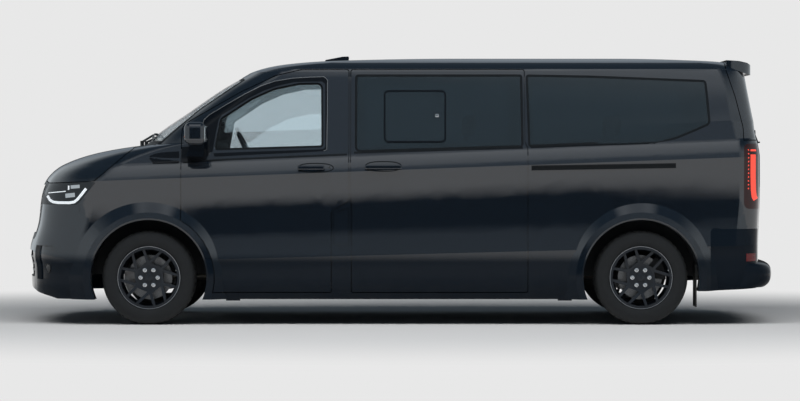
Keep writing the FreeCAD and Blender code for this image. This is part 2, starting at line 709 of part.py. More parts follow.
floor_z = size("floor_height")
floor_t = size("floor_thickness")
floor_y = size("floor_half_width")
floor = block((-1390, -floor_y, floor_z), (2560, floor_y, floor_z + floor_t))
toe_x = -1390 - SEAT
toe_board = side_prism([(toe_x, floor_z), (toe_x, floor_z + floor_t), (-1460, 620),
                        (-1460, 1100.7), (-1500, 1100.7), (-1500, 600)], -floor_y, floor_y)
RAIL_Y = 480
RAIL_BOTTOM = 380
RAIL_REAR = 2480
rails = [block((-2350, y - 35, RAIL_BOTTOM), (RAIL_REAR, y + 35, 470)) for y in (-RAIL_Y, RAIL_Y)]
cross_bars = [block((x - 30, -RAIL_Y, 390), (x + 30, RAIL_Y, 460))
              for x in (-1200, -300, 700, 1300, 2300)]
engine_side = size("engine_width") / 2 + SEAT
engine_mount = block((-2280, engine_side, 385), (-2180, RAIL_Y - 30, 460))
rail_top = [block((-1390, y - 30, 465), (RAIL_REAR, y + 30, floor_z - SEAT))
            for y in (-RAIL_Y, RAIL_Y)]
frame_rails = joined(rails + cross_bars + rail_top + [engine_mount, mirrored(engine_mount)])
HOUSE_HALF = 470
HOUSE_WALL = 8
house_low = (REAR - HOUSE_HALF, -floor_y, floor_z)
house_high = (REAR + HOUSE_HALF, -612, 830)
house = rounded_block(house_low, house_high, 60)
house = house.fuse(block(house_low, (house_high[0], house_high[1], 560)))
wheel_room = rounded_block((house_low[0] + HOUSE_WALL, -floor_y - 60, 330),
                           (house_high[0] - HOUSE_WALL, house_high[1] - HOUSE_WALL,
                            house_high[2] - HOUSE_WALL), 52)
house = house.cut(wheel_room)
house_notch = block((house_low[0] - SEAT, -floor_y - 1, floor_z - 1),
                    (house_high[0] + SEAT, house_high[1] + SEAT, floor_z + floor_t + 1))
steer_room = block((FRONT - 480, -1000, 300), (FRONT + 470, -560, 1300))
steer_rooms = [steer_room, mirrored(steer_room)]
floor_pan = floor.cut(steer_rooms + [house_notch, mirrored(house_notch)])
tow_holes = [Part.makeCylinder(size("tow_hole_radius"), 60, Vector(2430, y, z), Vector(1, 0, 0))
             for y in (-size("tow_half_width"), size("tow_half_width"))
             for z in (size("tow_height") - size("tow_half_height"),
                       size("tow_height") + size("tow_half_height"))]
publish("floor_pan", tidy(floor_pan.common(within)))
publish("toe_board", tidy(toe_board.cut(steer_rooms).common(within)))
publish("wheel_houses", group([tidy(part.common(within)) for part in (house, mirrored(house))]))
publish("frame_rails", tidy(frame_rails.common(within).cut(tow_holes)))

thick = size("liner_thickness")
AXLE_WAY = 60
arch_r = size("arch_radius")


def liner(axle_x, inner_y, radius, low):
    """Wheel-arch liner: a barrel over the tyre with an inner wall."""
    barrel = across(radius + thick, -905, inner_y, axle_x, WHEEL_Z)
    barrel = barrel.cut(across(radius, -1000, inner_y - thick, axle_x, WHEEL_Z))
    barrel = barrel.cut(across(AXLE_WAY, -1000, 0, axle_x, WHEEL_Z))
    barrel = barrel.cut(block((axle_x - 600, -1100, -200), (axle_x + 600, 0, low)))
    return tidy(barrel.common(within))


front_liner = liner(FRONT, -560, arch_r + 14, 345)
rear_liner = liner(REAR, -640, arch_r - 2, 335)
flap_x = REAR + arch_r - 21
flap = block((flap_x, -930, 125), (flap_x + 8, -720, 335))
tab = block((flap_x, -900, 325), (flap_x + 40, -720, 425))
flap = flap.fuse(tab.common(across(arch_r - 2 - SEAT, -1000, -600, REAR, WHEEL_Z)))
publish("arch_liners", group([front_liner, mirrored(front_liner), rear_liner,
                              mirrored(rear_liner)]))
publish("mud_flaps", group([flap, mirrored(flap)]))

# Cabin

dash_y = size("dash_half_width")
dash = side_prism([(-1450, 760), (-1240, 820, 60), (-1190, 1060, 60), (-1260, 1180, 60),
                   (-1400, 1205, 80), (-1640, 1200, 60), (-1640, 1120), (-1450, 1100)],
                  -dash_y, dash_y)
hood = side_prism([(-1420, 1180), (-1180, 1150, 30), (-1200, 1225, 40), (-1400, 1225, 60)],
                  -600, -200)
lean = math.radians(size("steering_wheel_rake"))
wheel_centre = Vector(size("steering_wheel_x"), size("steering_wheel_y"),
                      size("steering_wheel_height"))
column_axis = Vector(math.cos(lean), 0, math.sin(lean))
BOSS_BACK = 34
column = rod(wheel_centre - column_axis * (BOSS_BACK + SEAT), wheel_centre - column_axis * 220, 36)
publish("dashboard", joined([dash, hood, column]))


def chair(x, y, width):
    """Seat: base, cushion, leaning backrest and headrest."""
    half_width = width / 2
    top = size("cushion_height")
    back_top = size("seat_back_height")
    base = block((x - 200, y - half_width + 60, floor_z + floor_t),
                 (x + 200, y + half_width - 60, top - 130))
    cushion = rounded_block((x - 260, y - half_width, top - 135),
                            (x + 240, y + half_width, top), 45)
    back_points = [(x + 180, top - 90, 40), (x + 300, top - 90, 40),
                   (x + 410, back_top, 45), (x + 310, back_top, 40)]
    back = side_prism(back_points, y - half_width + 10, y + half_width - 10)
    head_points = [(x + 335, back_top - 20, 10), (x + 415, back_top - 20, 10),
                   (x + 440, 1515, 35), (x + 355, 1515, 35)]
    head = side_prism(head_points, y - 130, y + 130)
    return joined([base, cushion, back, head])


seat_w = size("seat_width")
publish("front_seats", group([chair(-790, y, seat_w) for y in (-440, 440)]))
second_row = [chair(120, y, seat_w) for y in (-520, -10, 500)]
third_row = [chair(1180, y, 396) for y in (-404, 0, 404)]
publish("rear_seats", group(second_row + third_row))

# Power unit and running gear

engine = doc.addObject("Part::Box", "engine")
engine.Label = "engine"
for side_name, cell in (("Length", "engine_length"), ("Width", "engine_width"),
                        ("Height", "engine_height")):
    engine.setExpression(side_name, "Sizes." + cell)
engine.Placement = Placement(Vector(-2480, -size("engine_width") / 2, 340), Rotation())
published.append(engine)


def ring_sector(inner_radius, outer_radius, low_y, high_y, x, first, last):
    """Part of a ring about a wheel's axis, between two angles in degrees from the rear."""
    ring = across(outer_radius, low_y, high_y, x, WHEEL_Z)
    ring = ring.cut(across(inner_radius, low_y, high_y, x, WHEEL_Z))
    reach = 2 * outer_radius
    steps = [math.radians(first + (last - first) * i / 4) for i in range(5)]
    fan = [(x, WHEEL_Z)] + [(x + reach * math.cos(a), WHEEL_Z + reach * math.sin(a))
                            for a in steps]
    return ring.common(side_prism(fan, low_y, high_y))


def caliper(x, first, last):
    """Left brake caliper: two cheeks and a bridge round the disc's edge."""
    clear = size("caliper_clearance")
    low = -WHEEL_Y - size("caliper_front")
    high = -WHEEL_Y + size("caliper_back")
    shape = ring_sector(size("caliper_low"), size("caliper_high"), low, high, x, first, last)
    disc_low = -WHEEL_Y + size("disc_face") - clear
    disc_high = disc_low + size("disc_thickness") + 2 * clear
    return shape.cut(across(size("disc_radius") + clear, disc_low, disc_high, x, WHEEL_Z))


def hub_carrier(x, first, last, inner_y):
    """Left hub carrier: stub for the wheel, boss behind the disc, arm and caliper."""
    behind_disc = -WHEEL_Y + size("disc_face") + size("disc_thickness") + 7
    stub = across(size("axle_stub"), -WHEEL_Y - size("stub_end"), behind_disc + 5, x, WHEEL_Z)
    boss = across(62, behind_disc, inner_y, x, WHEEL_Z)
    middle = math.radians((first + last) / 2)
    hold = 130
    arm = rounded_block((-20, behind_disc, -40), (hold, behind_disc + 30, 40), 8)
    arm.rotate(Vector(), Vector(0, 1, 0), -math.degrees(middle))
    arm.translate(Vector(x, 0, WHEEL_Z))
    return joined([stub, boss, arm, caliper(x, first, last)])


kingpin_y = WHEEL_Y - size("kingpin_inset")
ball = Vector(FRONT, -kingpin_y, 200)
BALL_RADIUS = 17
ARM_RADIUS = 11.5
BELOW_RAIL = RAIL_BOTTOM - SEAT
knuckle = hub_carrier(FRONT, 158, 222, -745)
lower_lug = Part.makeCylinder(24, 64, ball + Vector(0, 0, 26))
ball_stud = Part.makeCylinder(8, 40, ball)
ball_room = Part.makeSphere(BALL_RADIUS + SEAT, ball)
knuckle = joined([knuckle, lower_lug, ball_stud]).cut(ball_room)

cross = rounded_block((FRONT - 60, -440, 240), (FRONT + 80, 440, 330), 20)
arms = []
for sign in (-1, 1):
    joint = (ball.x, -sign * ball.y, ball.z)
    arms.append(rod((FRONT, sign * 420, 275), joint, ARM_RADIUS))
    arms.append(rod((FRONT + 60, sign * 420, 275), joint, ARM_RADIUS))
    arms.append(Part.makeSphere(BALL_RADIUS, Vector(*joint)))
    arms.append(block((FRONT - 50, sign * RAIL_Y - 30, 300),
                      (FRONT + 50, sign * RAIL_Y + 30, BELOW_RAIL)))
    arms.append(rod((FRONT, sign * 400, 315), (FRONT, sign * RAIL_Y, 315), ARM_RADIUS))
publish("front_subframe", joined([cross] + arms))
publish("knuckle_left", knuckle)
publish("knuckle_right", mirrored(knuckle))

beam = rod((REAR, -760, WHEEL_Z), (REAR, 760, WHEEL_Z), 42)
carrier = hub_carrier(REAR, -5, 52, -750)
links = []
for sign in (-1, 1):
    links.append(rod((REAR, sign * 560, WHEEL_Z), (REAR - 560, sign * RAIL_Y, 345), 30))
    links.append(block((REAR - 600, sign * RAIL_Y - 30, 320),
                       (REAR - 520, sign * RAIL_Y + 30, BELOW_RAIL)))
publish("rear_axle", joined([beam, carrier, mirrored(carrier)] + links))

PIPE_RADIUS = 26
pipe_points = [(-1700, 200, 300), (-1300, 200, 300), (-900, 120, 340), (900, 120, 340)]
tail_points = [(1340, 120, 340), (1520, 120, 438), (1930, 120, 438), (2160, 120, 350),
               (2200, 120, 350)]
pipe = []
for points in (pipe_points, tail_points):
    pipe += [rod(a, b, PIPE_RADIUS) for a, b in zip(points, points[1:])]
    pipe += [Part.makeSphere(PIPE_RADIUS, Vector(*p)) for p in points[1:-1]]
muffler = rounded_block((880, 20, 270), (1350, 260, 389.7), 40)
publish("exhaust", joined(pipe + [muffler]))
publish("fuel_tank", rounded_block((-250, -430, 250), (850, -60, 389.7), 30))

# Mirrors and wipers

def mirror():
    """Left door mirror: a broad foot on the door and a housing that carries the glass."""
    tip = -size("mirror_tip_y")
    housing = rounded_block((-1518, tip, 1281), (-1366, -965, 1440), 42)
    foot_outline = [(-1520, 1196, 10), (-1385, 1196, 10), (-1385, 1300, 20), (-1470, 1300, 20)]
    foot = side_prism(foot_outline, -1000, -900).cut(outer)
    foot.translate(Vector(0, -SEAT, 0))
    return joined([housing, tidy(foot)])


publish_pair("mirror", mirror())


def swept_rod(points, radius):
    """Round bar through several points."""
    bars = [rod(a, b, radius) for a, b in zip(points, points[1:])]
    balls = [Part.makeSphere(radius, Vector(*p)) for p in points[1:-1]]
    return joined(bars + balls)


# The windscreen's blades follow the glass: a strip of a layer just above it
blade_layer = form(-16, -12).cut(form(-7, -6)).common(block((-2000, -700, 1270), (-1500, 700, 1400)))
along = Vector(0.759, 0, 0.651)
upright = Vector(-0.651, 0, 0.759)
blade_middle = Vector(-1797, 0, 1350)
strip = [blade_middle + along * a + upright * b
         for a, b in ((-8, -120), (8, -120), (8, 60), (-8, 60))]
strip = [(point.x, point.z) for point in strip]
wiper_arms = []
for pivot_x, pivot_y, low_y, high_y in ((-1860, -560, -640, -60), (-1880, 60, 20, 600)):
    pivot = Part.makeCylinder(14, 94, Vector(pivot_x, pivot_y, 1216))
    pivot = tidy(pivot.cut(outer))
    pivot.translate(Vector(0, 0, SEAT))
    middle = (low_y + high_y) / 2
    arm = rod((pivot_x, pivot_y, 1302), (-1798, middle, 1351), 8)
    blade = blade_layer.common(side_prism(strip, low_y, high_y))
    wiper_arms.append(joined([pivot, arm, blade]))
publish("wipers", group(wiper_arms))

tail_pivot = tidy(rod((2560, 0, 1372), (2642, 0, 1372), 20).cut(outer))
tail_pivot.translate(Vector(SEAT - glass_in, 0, 0))
tail_arm = rod((2633, 0, 1370), (2638, -190, 1301), 5)
tail_blade = swept_rod([(2636, 60, 1296), (2633, -190, 1298), (2619, -440, 1300)], 6)
publish("rear_wiper", joined([tail_pivot, tail_arm, tail_blade]))


# Wheels: sketches on the wheel's own base planes, turned about Y. Outwards is -Y on the
# left, and the right-hand wheels are turned about Z to face the other way.

def base_feature(body, role):
    """One of a body's own base planes or axes."""
    for item in body.Origin.OriginFeatures:
        if item.Role == role:
            return item
    raise RuntimeError("no " + role)


def cell_words(text):
    """The text of a sum with each cell name led by the sheet's name."""
    words = [("Sizes." + word if word in SIZES else word) for word in text.split()]
    return " ".join(words)


def cell_sum(text):
    """The number that such a text stands for."""
    total = 0.0
    sign = 1.0
    for word in text.split():
        if word == "-":
            sign = -1.0
        elif word != "+":
            total += sign * (size(word) if word in SIZES else float(word))
            sign = 1.0
    return total


def bound_sketch(body, name, plane, corners):
    """Closed sketch whose corners are pairs of texts, each a sum of sheet cells."""
    sketch = body.newObject("Sketcher::SketchObject", name)
    sketch.AttachmentSupport = [(base_feature(body, plane), "")]
    sketch.MapMode = "FlatFace"
    values = [Vector(cell_sum(first), cell_sum(second), 0) for first, second in corners]
    count = len(values)
    for i in range(count):
        sketch.addGeometry(Part.LineSegment(values[i], values[(i + 1) % count]), False)
    for i in range(count):
        sketch.addConstraint(Sketcher.Constraint("Coincident", i, 2, (i + 1) % count, 1))
    for i, texts in enumerate(corners):
        for kind, text, value in zip(("DistanceX", "DistanceY"), texts, values[i]):
            index = sketch.addConstraint(Sketcher.Constraint(kind, -1, 1, i, 1, value))
            sketch.setExpression("Constraints[%d]" % index, cell_words(text))
    return sketch


def new_body(label, place):
    """Empty body of one sub-part at its place."""
    body = doc.addObject("PartDesign::Body", label)
    body.Label = label
    body.Placement = place
    published.append(body)
    return body


def turned(body, name, corners):
    """Profile of (radius, across) corners turned right round about Y."""
    sketch = bound_sketch(body, name + "_profile", "XY_Plane", corners)
    turn = body.newObject("PartDesign::Revolution", name)
    turn.Profile = sketch
    turn.ReferenceAxis = (base_feature(body, "Y_Axis"), [""])
    turn.Angle = 360
    doc.recompute()
    return turn


def make_tyre(label, place):
    """Tyre seated on the rim's bead, widest at the sidewall's middle."""
    body = new_body(label, place)
    bead_across = "rim_half_width - flange_thickness - seat_gap"
    side = [("bead_radius + seat_gap", bead_across),
            ("bead_radius + rim_flange + 2", bead_across),
            ("tyre_sidewall", "tyre_half_width"),
            ("tyre_radius", "tyre_half_width - tyre_shoulder")]
    outboard = [(radius, negative(across_text)) for radius, across_text in side]
    side.reverse()
    turned(body, label + "_turn", outboard + side)
    return body


def negative(text):
    """The same sum of cells with every sign turned."""
    swap = {"+": "-", "-": "+"}
    return "0 - " + " ".join(swap.get(word, word) for word in text.split())


def make_rim(label, place):
    """Rim barrel, dished face with six forked spokes and a bored hub."""
    body = new_body(label, place)
    lip = "bead_radius + rim_flange"
    seat_across = "rim_half_width - flange_thickness"
    barrel = [(lip, "0 - rim_half_width"),
              (lip, negative(seat_across)),
              ("bead_radius", negative(seat_across)),
              ("bead_radius", "0 - well_front"),
              ("bead_radius - rim_well", "well_slope - well_front"),
              ("bead_radius - rim_well", seat_across + " - 48"),
              ("bead_radius", seat_across + " - 24"),
              ("bead_radius", seat_across),
              (lip, seat_across),
              (lip, "rim_half_width"),
              ("bead_radius - rim_wall", "rim_half_width"),
              ("bead_radius - rim_wall", seat_across + " - 20"),
              ("bead_radius - rim_well - rim_wall", seat_across + " - 46"),
              ("bead_radius - rim_well - rim_wall", "well_slope - well_front - 2"),
              ("bead_radius - rim_wall", "0 - well_front - 2"),
              ("bead_radius - rim_wall", "0 - rim_half_width")]
    turned(body, label + "_barrel", barrel)
    dish = [("hub_bore", "0 - hub_face"),
            ("hub_radius", "0 - hub_face"),
            ("dish_knee", "0 - spoke_face"),
            ("bead_radius - rim_wall + 4", "0 - spoke_face - 2"),
            ("bead_radius - rim_wall + 4", "spoke_depth - spoke_face"),
            ("hub_radius", "0 - hub_back"),
            ("hub_bore", "0 - hub_back")]
    face = turned(body, label + "_dish", dish)
    windows = [("wide", [("wide_start_x", "wide_start_z"), ("wide_lead_x", "wide_lead_z"),
                         ("wide_crown_x", "wide_crown_z"), ("wide_trail_x", "wide_trail_z"),
                         ("wide_end_x", "wide_end_z")]),
               ("fork", [("0", "fork_low"), ("fork_lead_x", "fork_lead_z"),
                         ("fork_crown_x", "fork_crown_z"),
                         ("0 - fork_trail_x", "fork_trail_z")])]
    cuts = []
    before = face.Shape.Volume
    for name, corners in windows:
        sketch = bound_sketch(body, "%s_%s_outline" % (label, name), "XZ_Plane", corners)
        sketch.setExpression("AttachmentOffset.Base.z", "Sizes.hub_back")
        pocket = body.newObject("PartDesign::Pocket", "%s_%s" % (label, name))
        pocket.Profile = sketch
        pocket.Type = 1
        pocket.Reversed = True
        doc.recompute()
        area = Part.Face(sketch.Shape).Area
        if not before - pocket.Shape.Volume > 0.8 * area * size("spoke_depth"):
            raise RuntimeError("the %s window of %s cuts too little" % (name, label))
        before = pocket.Shape.Volume
        cuts.append(pocket)
    pattern = body.newObject("PartDesign::PolarPattern", label + "_pattern")
    pattern.Originals = cuts
    pattern.Axis = (base_feature(body, "Y_Axis"), [""])
    pattern.Angle = 360
    pattern.setExpression("Occurrences", "Sizes.spoke_pairs")
    body.Tip = pattern
    doc.recompute()
    return body


def make_disc(label, place):
    """Brake disc with the bell that bolts behind the wheel's hub."""
    body = new_body(label, place)
    corners = [("axle_stub + seat_gap", "seat_gap - hub_back"),
               ("bell_radius", "seat_gap - hub_back"),
               ("bell_radius", "disc_face"),
               ("disc_radius", "disc_face"),
               ("disc_radius", "disc_face + disc_thickness"),
               ("bell_radius - bell_wall", "disc_face + disc_thickness"),
               ("bell_radius - bell_wall", "seat_gap + bell_wall - hub_back"),
               ("axle_stub + seat_gap", "seat_gap + bell_wall - hub_back")]
    turned(body, label + "_turn", corners)
    return body


WHEELS = {"front_left": (FRONT, -WHEEL_Y, 0), "front_right": (FRONT, WHEEL_Y, 180),
          "rear_left": (REAR, -WHEEL_Y, 0), "rear_right": (REAR, WHEEL_Y, 180)}
for corner, (x, y, turn_angle) in WHEELS.items():
    place = Placement(Vector(x, y, WHEEL_Z), Rotation(Vector(0, 0, 1), turn_angle))
    make_tyre("tyre_" + corner, place)
    make_rim("rim_" + corner, place)
    make_disc("disc_" + corner, place)


# Steering wheel: a ring on three spokes, leaning towards the driver

tilt = Placement(wheel_centre, Rotation(Vector(0, 1, 0), 90 - size("steering_wheel_rake")))
hoop = doc.addObject("Part::Torus", "steering_hoop")
hoop.setExpression("Radius1", "Sizes.steering_wheel_radius")
hoop.setExpression("Radius2", "Sizes.steering_wheel_tube")
boss = doc.addObject("Part::Cylinder", "steering_boss")
boss.Radius = 62
boss.Height = 40
boss.Placement = Placement(Vector(0, 0, -BOSS_BACK), Rotation())
spokes = []
for number, angle in enumerate((0, 115, 245)):
    spoke = doc.addObject("Part::Box", "steering_spoke_%d" % number)
    spoke.Width = 36
    spoke.Height = 16
    spoke.setExpression("Length", "Sizes.steering_wheel_radius")
    turn_rotation = Rotation(Vector(0, 0, 1), angle)
    spoke.Placement = Placement(turn_rotation.multVec(Vector(0, -18, -12)), turn_rotation)
    spokes.append(spoke)
steering = doc.addObject("Part::MultiFuse", "steering_wheel")
steering.Label = "steering_wheel"
steering.Shapes = [hoop, boss] + spokes
steering.Placement = tilt
published.append(steering)


doc.recompute()
os.makedirs("parts", exist_ok=True)
for item in doc.Objects:
    bad = [word for word in item.State if word in ("Invalid", "Error")]
    if bad:
        raise RuntimeError("%s is %s" % (item.Label, bad))
for item in published:
    if item.Shape.isNull() or not item.Shape.isValid():
        raise RuntimeError("%s has no valid shape" % item.Label)
for item in published:
    item.Shape.exportStep("parts/%s.step" % item.Label)
    print(item.Label, len(item.Shape.Solids), round(item.Shape.Volume / 1e6, 2))
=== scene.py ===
"""Dresses the packed minibus: finishes, tyres, lamps, seals, seats and cabin, in a studio."""

import logging
import math
from dataclasses import dataclass, replace
from enum import Enum
from typing import Callable, Iterable

import bmesh
import bpy
from mathutils import Matrix, Vector


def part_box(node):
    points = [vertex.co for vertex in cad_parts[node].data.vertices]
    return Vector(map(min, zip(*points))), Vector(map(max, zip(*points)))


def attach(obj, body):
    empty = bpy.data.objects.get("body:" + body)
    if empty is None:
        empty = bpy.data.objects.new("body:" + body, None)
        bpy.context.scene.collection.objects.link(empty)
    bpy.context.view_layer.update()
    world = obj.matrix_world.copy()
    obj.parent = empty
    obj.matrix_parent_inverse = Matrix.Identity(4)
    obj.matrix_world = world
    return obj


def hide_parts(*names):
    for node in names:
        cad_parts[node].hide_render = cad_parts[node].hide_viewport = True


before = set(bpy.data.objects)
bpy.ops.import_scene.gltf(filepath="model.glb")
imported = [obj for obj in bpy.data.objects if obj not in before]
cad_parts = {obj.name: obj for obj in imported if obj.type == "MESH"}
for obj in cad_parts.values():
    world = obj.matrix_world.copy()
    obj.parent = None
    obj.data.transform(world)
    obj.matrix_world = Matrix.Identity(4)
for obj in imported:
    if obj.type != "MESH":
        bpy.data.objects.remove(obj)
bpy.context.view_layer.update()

LOG = logging.getLogger("minibus")
Colour = tuple[float, float, float]
Point = tuple[float, float, float]
Pixel = tuple[float, float]
Section = tuple[tuple[float, float], ...]
Piece = bpy.types.Object
Face = bmesh.types.BMFace

EYE: Point = (0.0057, -22.98, 1.207)
EYE_PIXEL: Pixel = (400.0, 155.06)
PIXEL = 0.007102
SIDE_AWAY = 22.0
OUTSIDE = -1.3
MIRROR_Y = Matrix.Scale(-1.0, 4, (0.0, 1.0, 0.0))
DUST: Colour = (0.19, 0.175, 0.15)
FILM: Colour = (0.12, 0.115, 0.105)
RUST: Colour = (0.12, 0.055, 0.03)
FLECK: Colour = (0.11, 0.115, 0.125)
TREAD_DUST: Colour = (0.06, 0.057, 0.052)


class Side(Enum):
    """The two sides of the vehicle, with the sign of Y there."""

    LEFT = -1
    RIGHT = 1

    @property
    def word(self) -> str:
        """The side's name as the nodes spell it."""
        return self.name.lower()


class Way(Enum):
    """The directions that sheets are laid in."""

    RIGHT = (0.0, 1.0, 0.0)
    REAR = (1.0, 0.0, 0.0)
    FRONT = (-1.0, 0.0, 0.0)
    DOWN = (0.0, 0.0, -1.0)


class Shade:
    """A shader socket that Python expressions can be written with."""

    def __init__(self, graph: "Graph", socket: bpy.types.NodeSocket) -> None:
        """Wraps an output socket of a graph."""
        self.graph = graph
        self.socket = socket

    def _math(self, operation: str, *values: "Shade | float") -> "Shade":
        """Adds a Math node and gives its result."""
        inputs = dict(enumerate(values))
        return self.graph.node("ShaderNodeMath", {"operation": operation}, inputs)

    def __add__(self, other: "Shade | float") -> "Shade":
        """Sum."""
        return self._math("ADD", self, other)

    def __mul__(self, other: "Shade | float") -> "Shade":
        """Product."""
        return self._math("MULTIPLY", self, other)

    def __sub__(self, other: "Shade | float") -> "Shade":
        """Difference."""
        return self._math("SUBTRACT", self, other)

    def __rsub__(self, other: "Shade | float") -> "Shade":
        """Difference the other way round."""
        return self._math("SUBTRACT", other, self)

    def __truediv__(self, other: "Shade | float") -> "Shade":
        """Quotient."""
        return self._math("DIVIDE", self, other)

    __radd__ = __add__
    __rmul__ = __mul__

    def absolute(self) -> "Shade":
        """The value without its sign."""
        return self._math("ABSOLUTE", self)

    def sine(self) -> "Shade":
        """The sine of the value."""
        return self._math("SINE", self)

    def ramp(self, low: float, high: float) -> "Shade":
        """Rises smoothly from 0 at one value to 1 at another."""
        inputs = {"Value": self, "From Min": low, "From Max": high}
        return self.graph.node("ShaderNodeMapRange", {"interpolation_type": "SMOOTHSTEP"}, inputs)


class Graph:
    """A node tree that is fed by Python expressions."""

    def __init__(self, tree: bpy.types.NodeTree) -> None:
        """Wraps a node tree."""
        self.tree = tree

    def node(self, kind: str, settings: dict, inputs: dict, output: str | int = 0) -> Shade:
        """Adds any node.

        Args:
            kind: the node's type.
            settings: its properties, set first. A ramp's stops are given as "stops".
            inputs: values or links by the socket's name or place.
            output: the output to give back.

        Returns:
            The chosen output.
        """
        made = self.tree.nodes.new(kind)
        for key, value in settings.items():
            if key == "stops":
                self._stops(made.color_ramp, value)
            else:
                setattr(made, key, value)
        for key, value in inputs.items():
            self.feed(made.inputs[key], value)
        return Shade(self, made.outputs[output])

    @staticmethod
    def _stops(ramp: bpy.types.ColorRamp, stops: tuple[tuple[float, Colour], ...]) -> None:
        """Sets a ramp's stops.

        Args:
            ramp: the ramp.
            stops: place and colour of each stop.
        """
        while len(ramp.elements) < len(stops):
            ramp.elements.new(1.0)
        for element, (place, colour) in zip(ramp.elements, stops):
            element.position = place
            element.color = (*colour, 1.0)

    def feed(self, socket: bpy.types.NodeSocket, value: "Shade | float | tuple") -> None:
        """Sets or links a socket.

        Args:
            socket: the input.
            value: what it gets.
        """
        if isinstance(value, Shade):
            self.tree.links.new(value.socket, socket)
        elif isinstance(value, tuple) and len(value) == 3 and len(socket.default_value) == 4:
            socket.default_value = (*value, 1.0)
        else:
            socket.default_value = value

    def rays(self) -> tuple[Shade, Shade]:
        """Masks of the rays that see directly or through glass, and of those that mirror.

        Returns:
            Both masks.
        """
        camera, through, glossy = (
            self.node("ShaderNodeLightPath", {}, {}, f"Is {kind} Ray")
            for kind in ("Camera", "Transmission", "Glossy"))
        return camera + through, glossy * (1 - through)

    def place(self) -> Shade:
        """The Object coordinate, in metres in the vehicle's frame."""
        return self.node("ShaderNodeTexCoord", {}, {}, "Object")

    def along(self, axis: str) -> Shade:
        """One part of the Object coordinate, by its letter."""
        return self.node("ShaderNodeSeparateXYZ", {}, {0: self.place()}, axis)

    def vector(self, operation: str, *values: "Shade | Point", output: str = "Value") -> Shade:
        """Adds a Vector Math node and gives one of its outputs."""
        inputs = dict(enumerate(values))
        return self.node("ShaderNodeVectorMath", {"operation": operation}, inputs, output)

    def radius(self, axle: Point) -> Shade:
        """How far the surface is from an axle that runs along Y."""
        flat = self.vector("MULTIPLY", self.place(), (1.0, 0.0, 1.0), output="Vector")
        return self.vector("DISTANCE", flat, axle)

    def noise(self, scale: float, detail: float = 3.0, stretch: Point = (1.0, 1.0, 1.0)) -> Shade:
        """A noise from 0 to 1, with so many cells a metre, octaves, and a scale of each axis."""
        at = self.node("ShaderNodeMapping", {}, {"Vector": self.place(), "Scale": stretch})
        return self.node("ShaderNodeTexNoise", {}, {"Vector": at, "Scale": scale, "Detail": detail})

    def mix(self, factor: Shade, first: "Colour | Shade", second: "Colour | Shade") -> Shade:
        """Mixes two colours, where a factor of 1 gives the second."""
        inputs = {0: factor, 6: first, 7: second}
        return self.node("ShaderNodeMix", {"data_type": "RGBA"}, inputs, 2)


class Surface(Graph):
    """A material's tree, with its shader at the end."""

    def __init__(self, name: str) -> None:
        """Makes the material and its shader.

        Args:
            name: the material's name.
        """
        self.material = bpy.data.materials.new(name)
        self.material.use_nodes = True
        super().__init__(self.material.node_tree)
        self.tree.nodes.clear()
        self.end = self.tree.nodes.new("ShaderNodeOutputMaterial")
        self.shader = self.tree.nodes.new("ShaderNodeBsdfPrincipled")
        self.tree.links.new(self.shader.outputs[0], self.end.inputs["Surface"])

    def set(self, **sockets: "Shade | float | tuple") -> None:
        """Feeds the shader's sockets, spaces in their names written as underscores."""
        for key, value in sockets.items():
            self.feed(self.shader.inputs[key.replace("_", " ")], value)

    def bump(self, height: Shade, depth: float, strength: float = 1.0) -> None:
        """Feeds the normal from a height of 0 to 1, which is so many metres deep."""
        inputs = {"Height": height, "Distance": depth, "Strength": strength}
        self.set(Normal=self.node("ShaderNodeBump", {}, inputs))


@dataclass(frozen=True)
class Finish:
    """A surface with a colour that varies a little, and a grain."""

    name: str
    colour: Colour
    second: Colour | None = None
    roughness: float = 0.5
    spread: float = 0.08
    metallic: float = 0.0
    coat: float = 0.0
    specular: float = 0.5
    patch: float = 14.0
    grain: float = 900.0
    depth: float = 0.0
    dust: float = 0.0

    def material(self) -> bpy.types.Material:
        """The finish's material, built at its first use.

        Returns:
            The material.
        """
        name = self.name + "_finish"
        found = bpy.data.materials.get(name)
        if found:
            return found
        graph = Surface(name)
        graph.set(Specular_IOR_Level=self.specular)
        self.shade(graph)
        return graph.material

    def other(self, share: float = 1.0, more: float = 0.0) -> Colour:
        """The second colour, or else one made from the first."""
        return self.second or tuple(share * part + more for part in self.colour)

    def shade(self, graph: Surface) -> None:
        """Feeds the shader.

        Args:
            graph: the material's tree.
        """
        patches, fine = graph.noise(self.patch, 4.0), graph.noise(self.grain, 2.0)
        cloud = (patches * 0.7 + fine * 0.3).ramp(0.35, 0.75)
        colour = graph.mix(cloud, self.colour, self.other(1.35, 0.002))
        if self.dust:
            low = (0.62 - graph.along("Z")).ramp(0.0, 0.5)
            low *= graph.noise(6.0, 5.0).ramp(0.3, 0.75)
            colour = graph.mix(low * self.dust, colour, DUST)
        rough = patches * self.spread + (self.roughness - self.spread / 2)
        graph.set(Base_Color=colour, Roughness=rough, Metallic=self.metallic,
                  Coat_Weight=self.coat, Coat_Roughness=0.04)
        if self.depth:
            graph.bump(fine, self.depth)


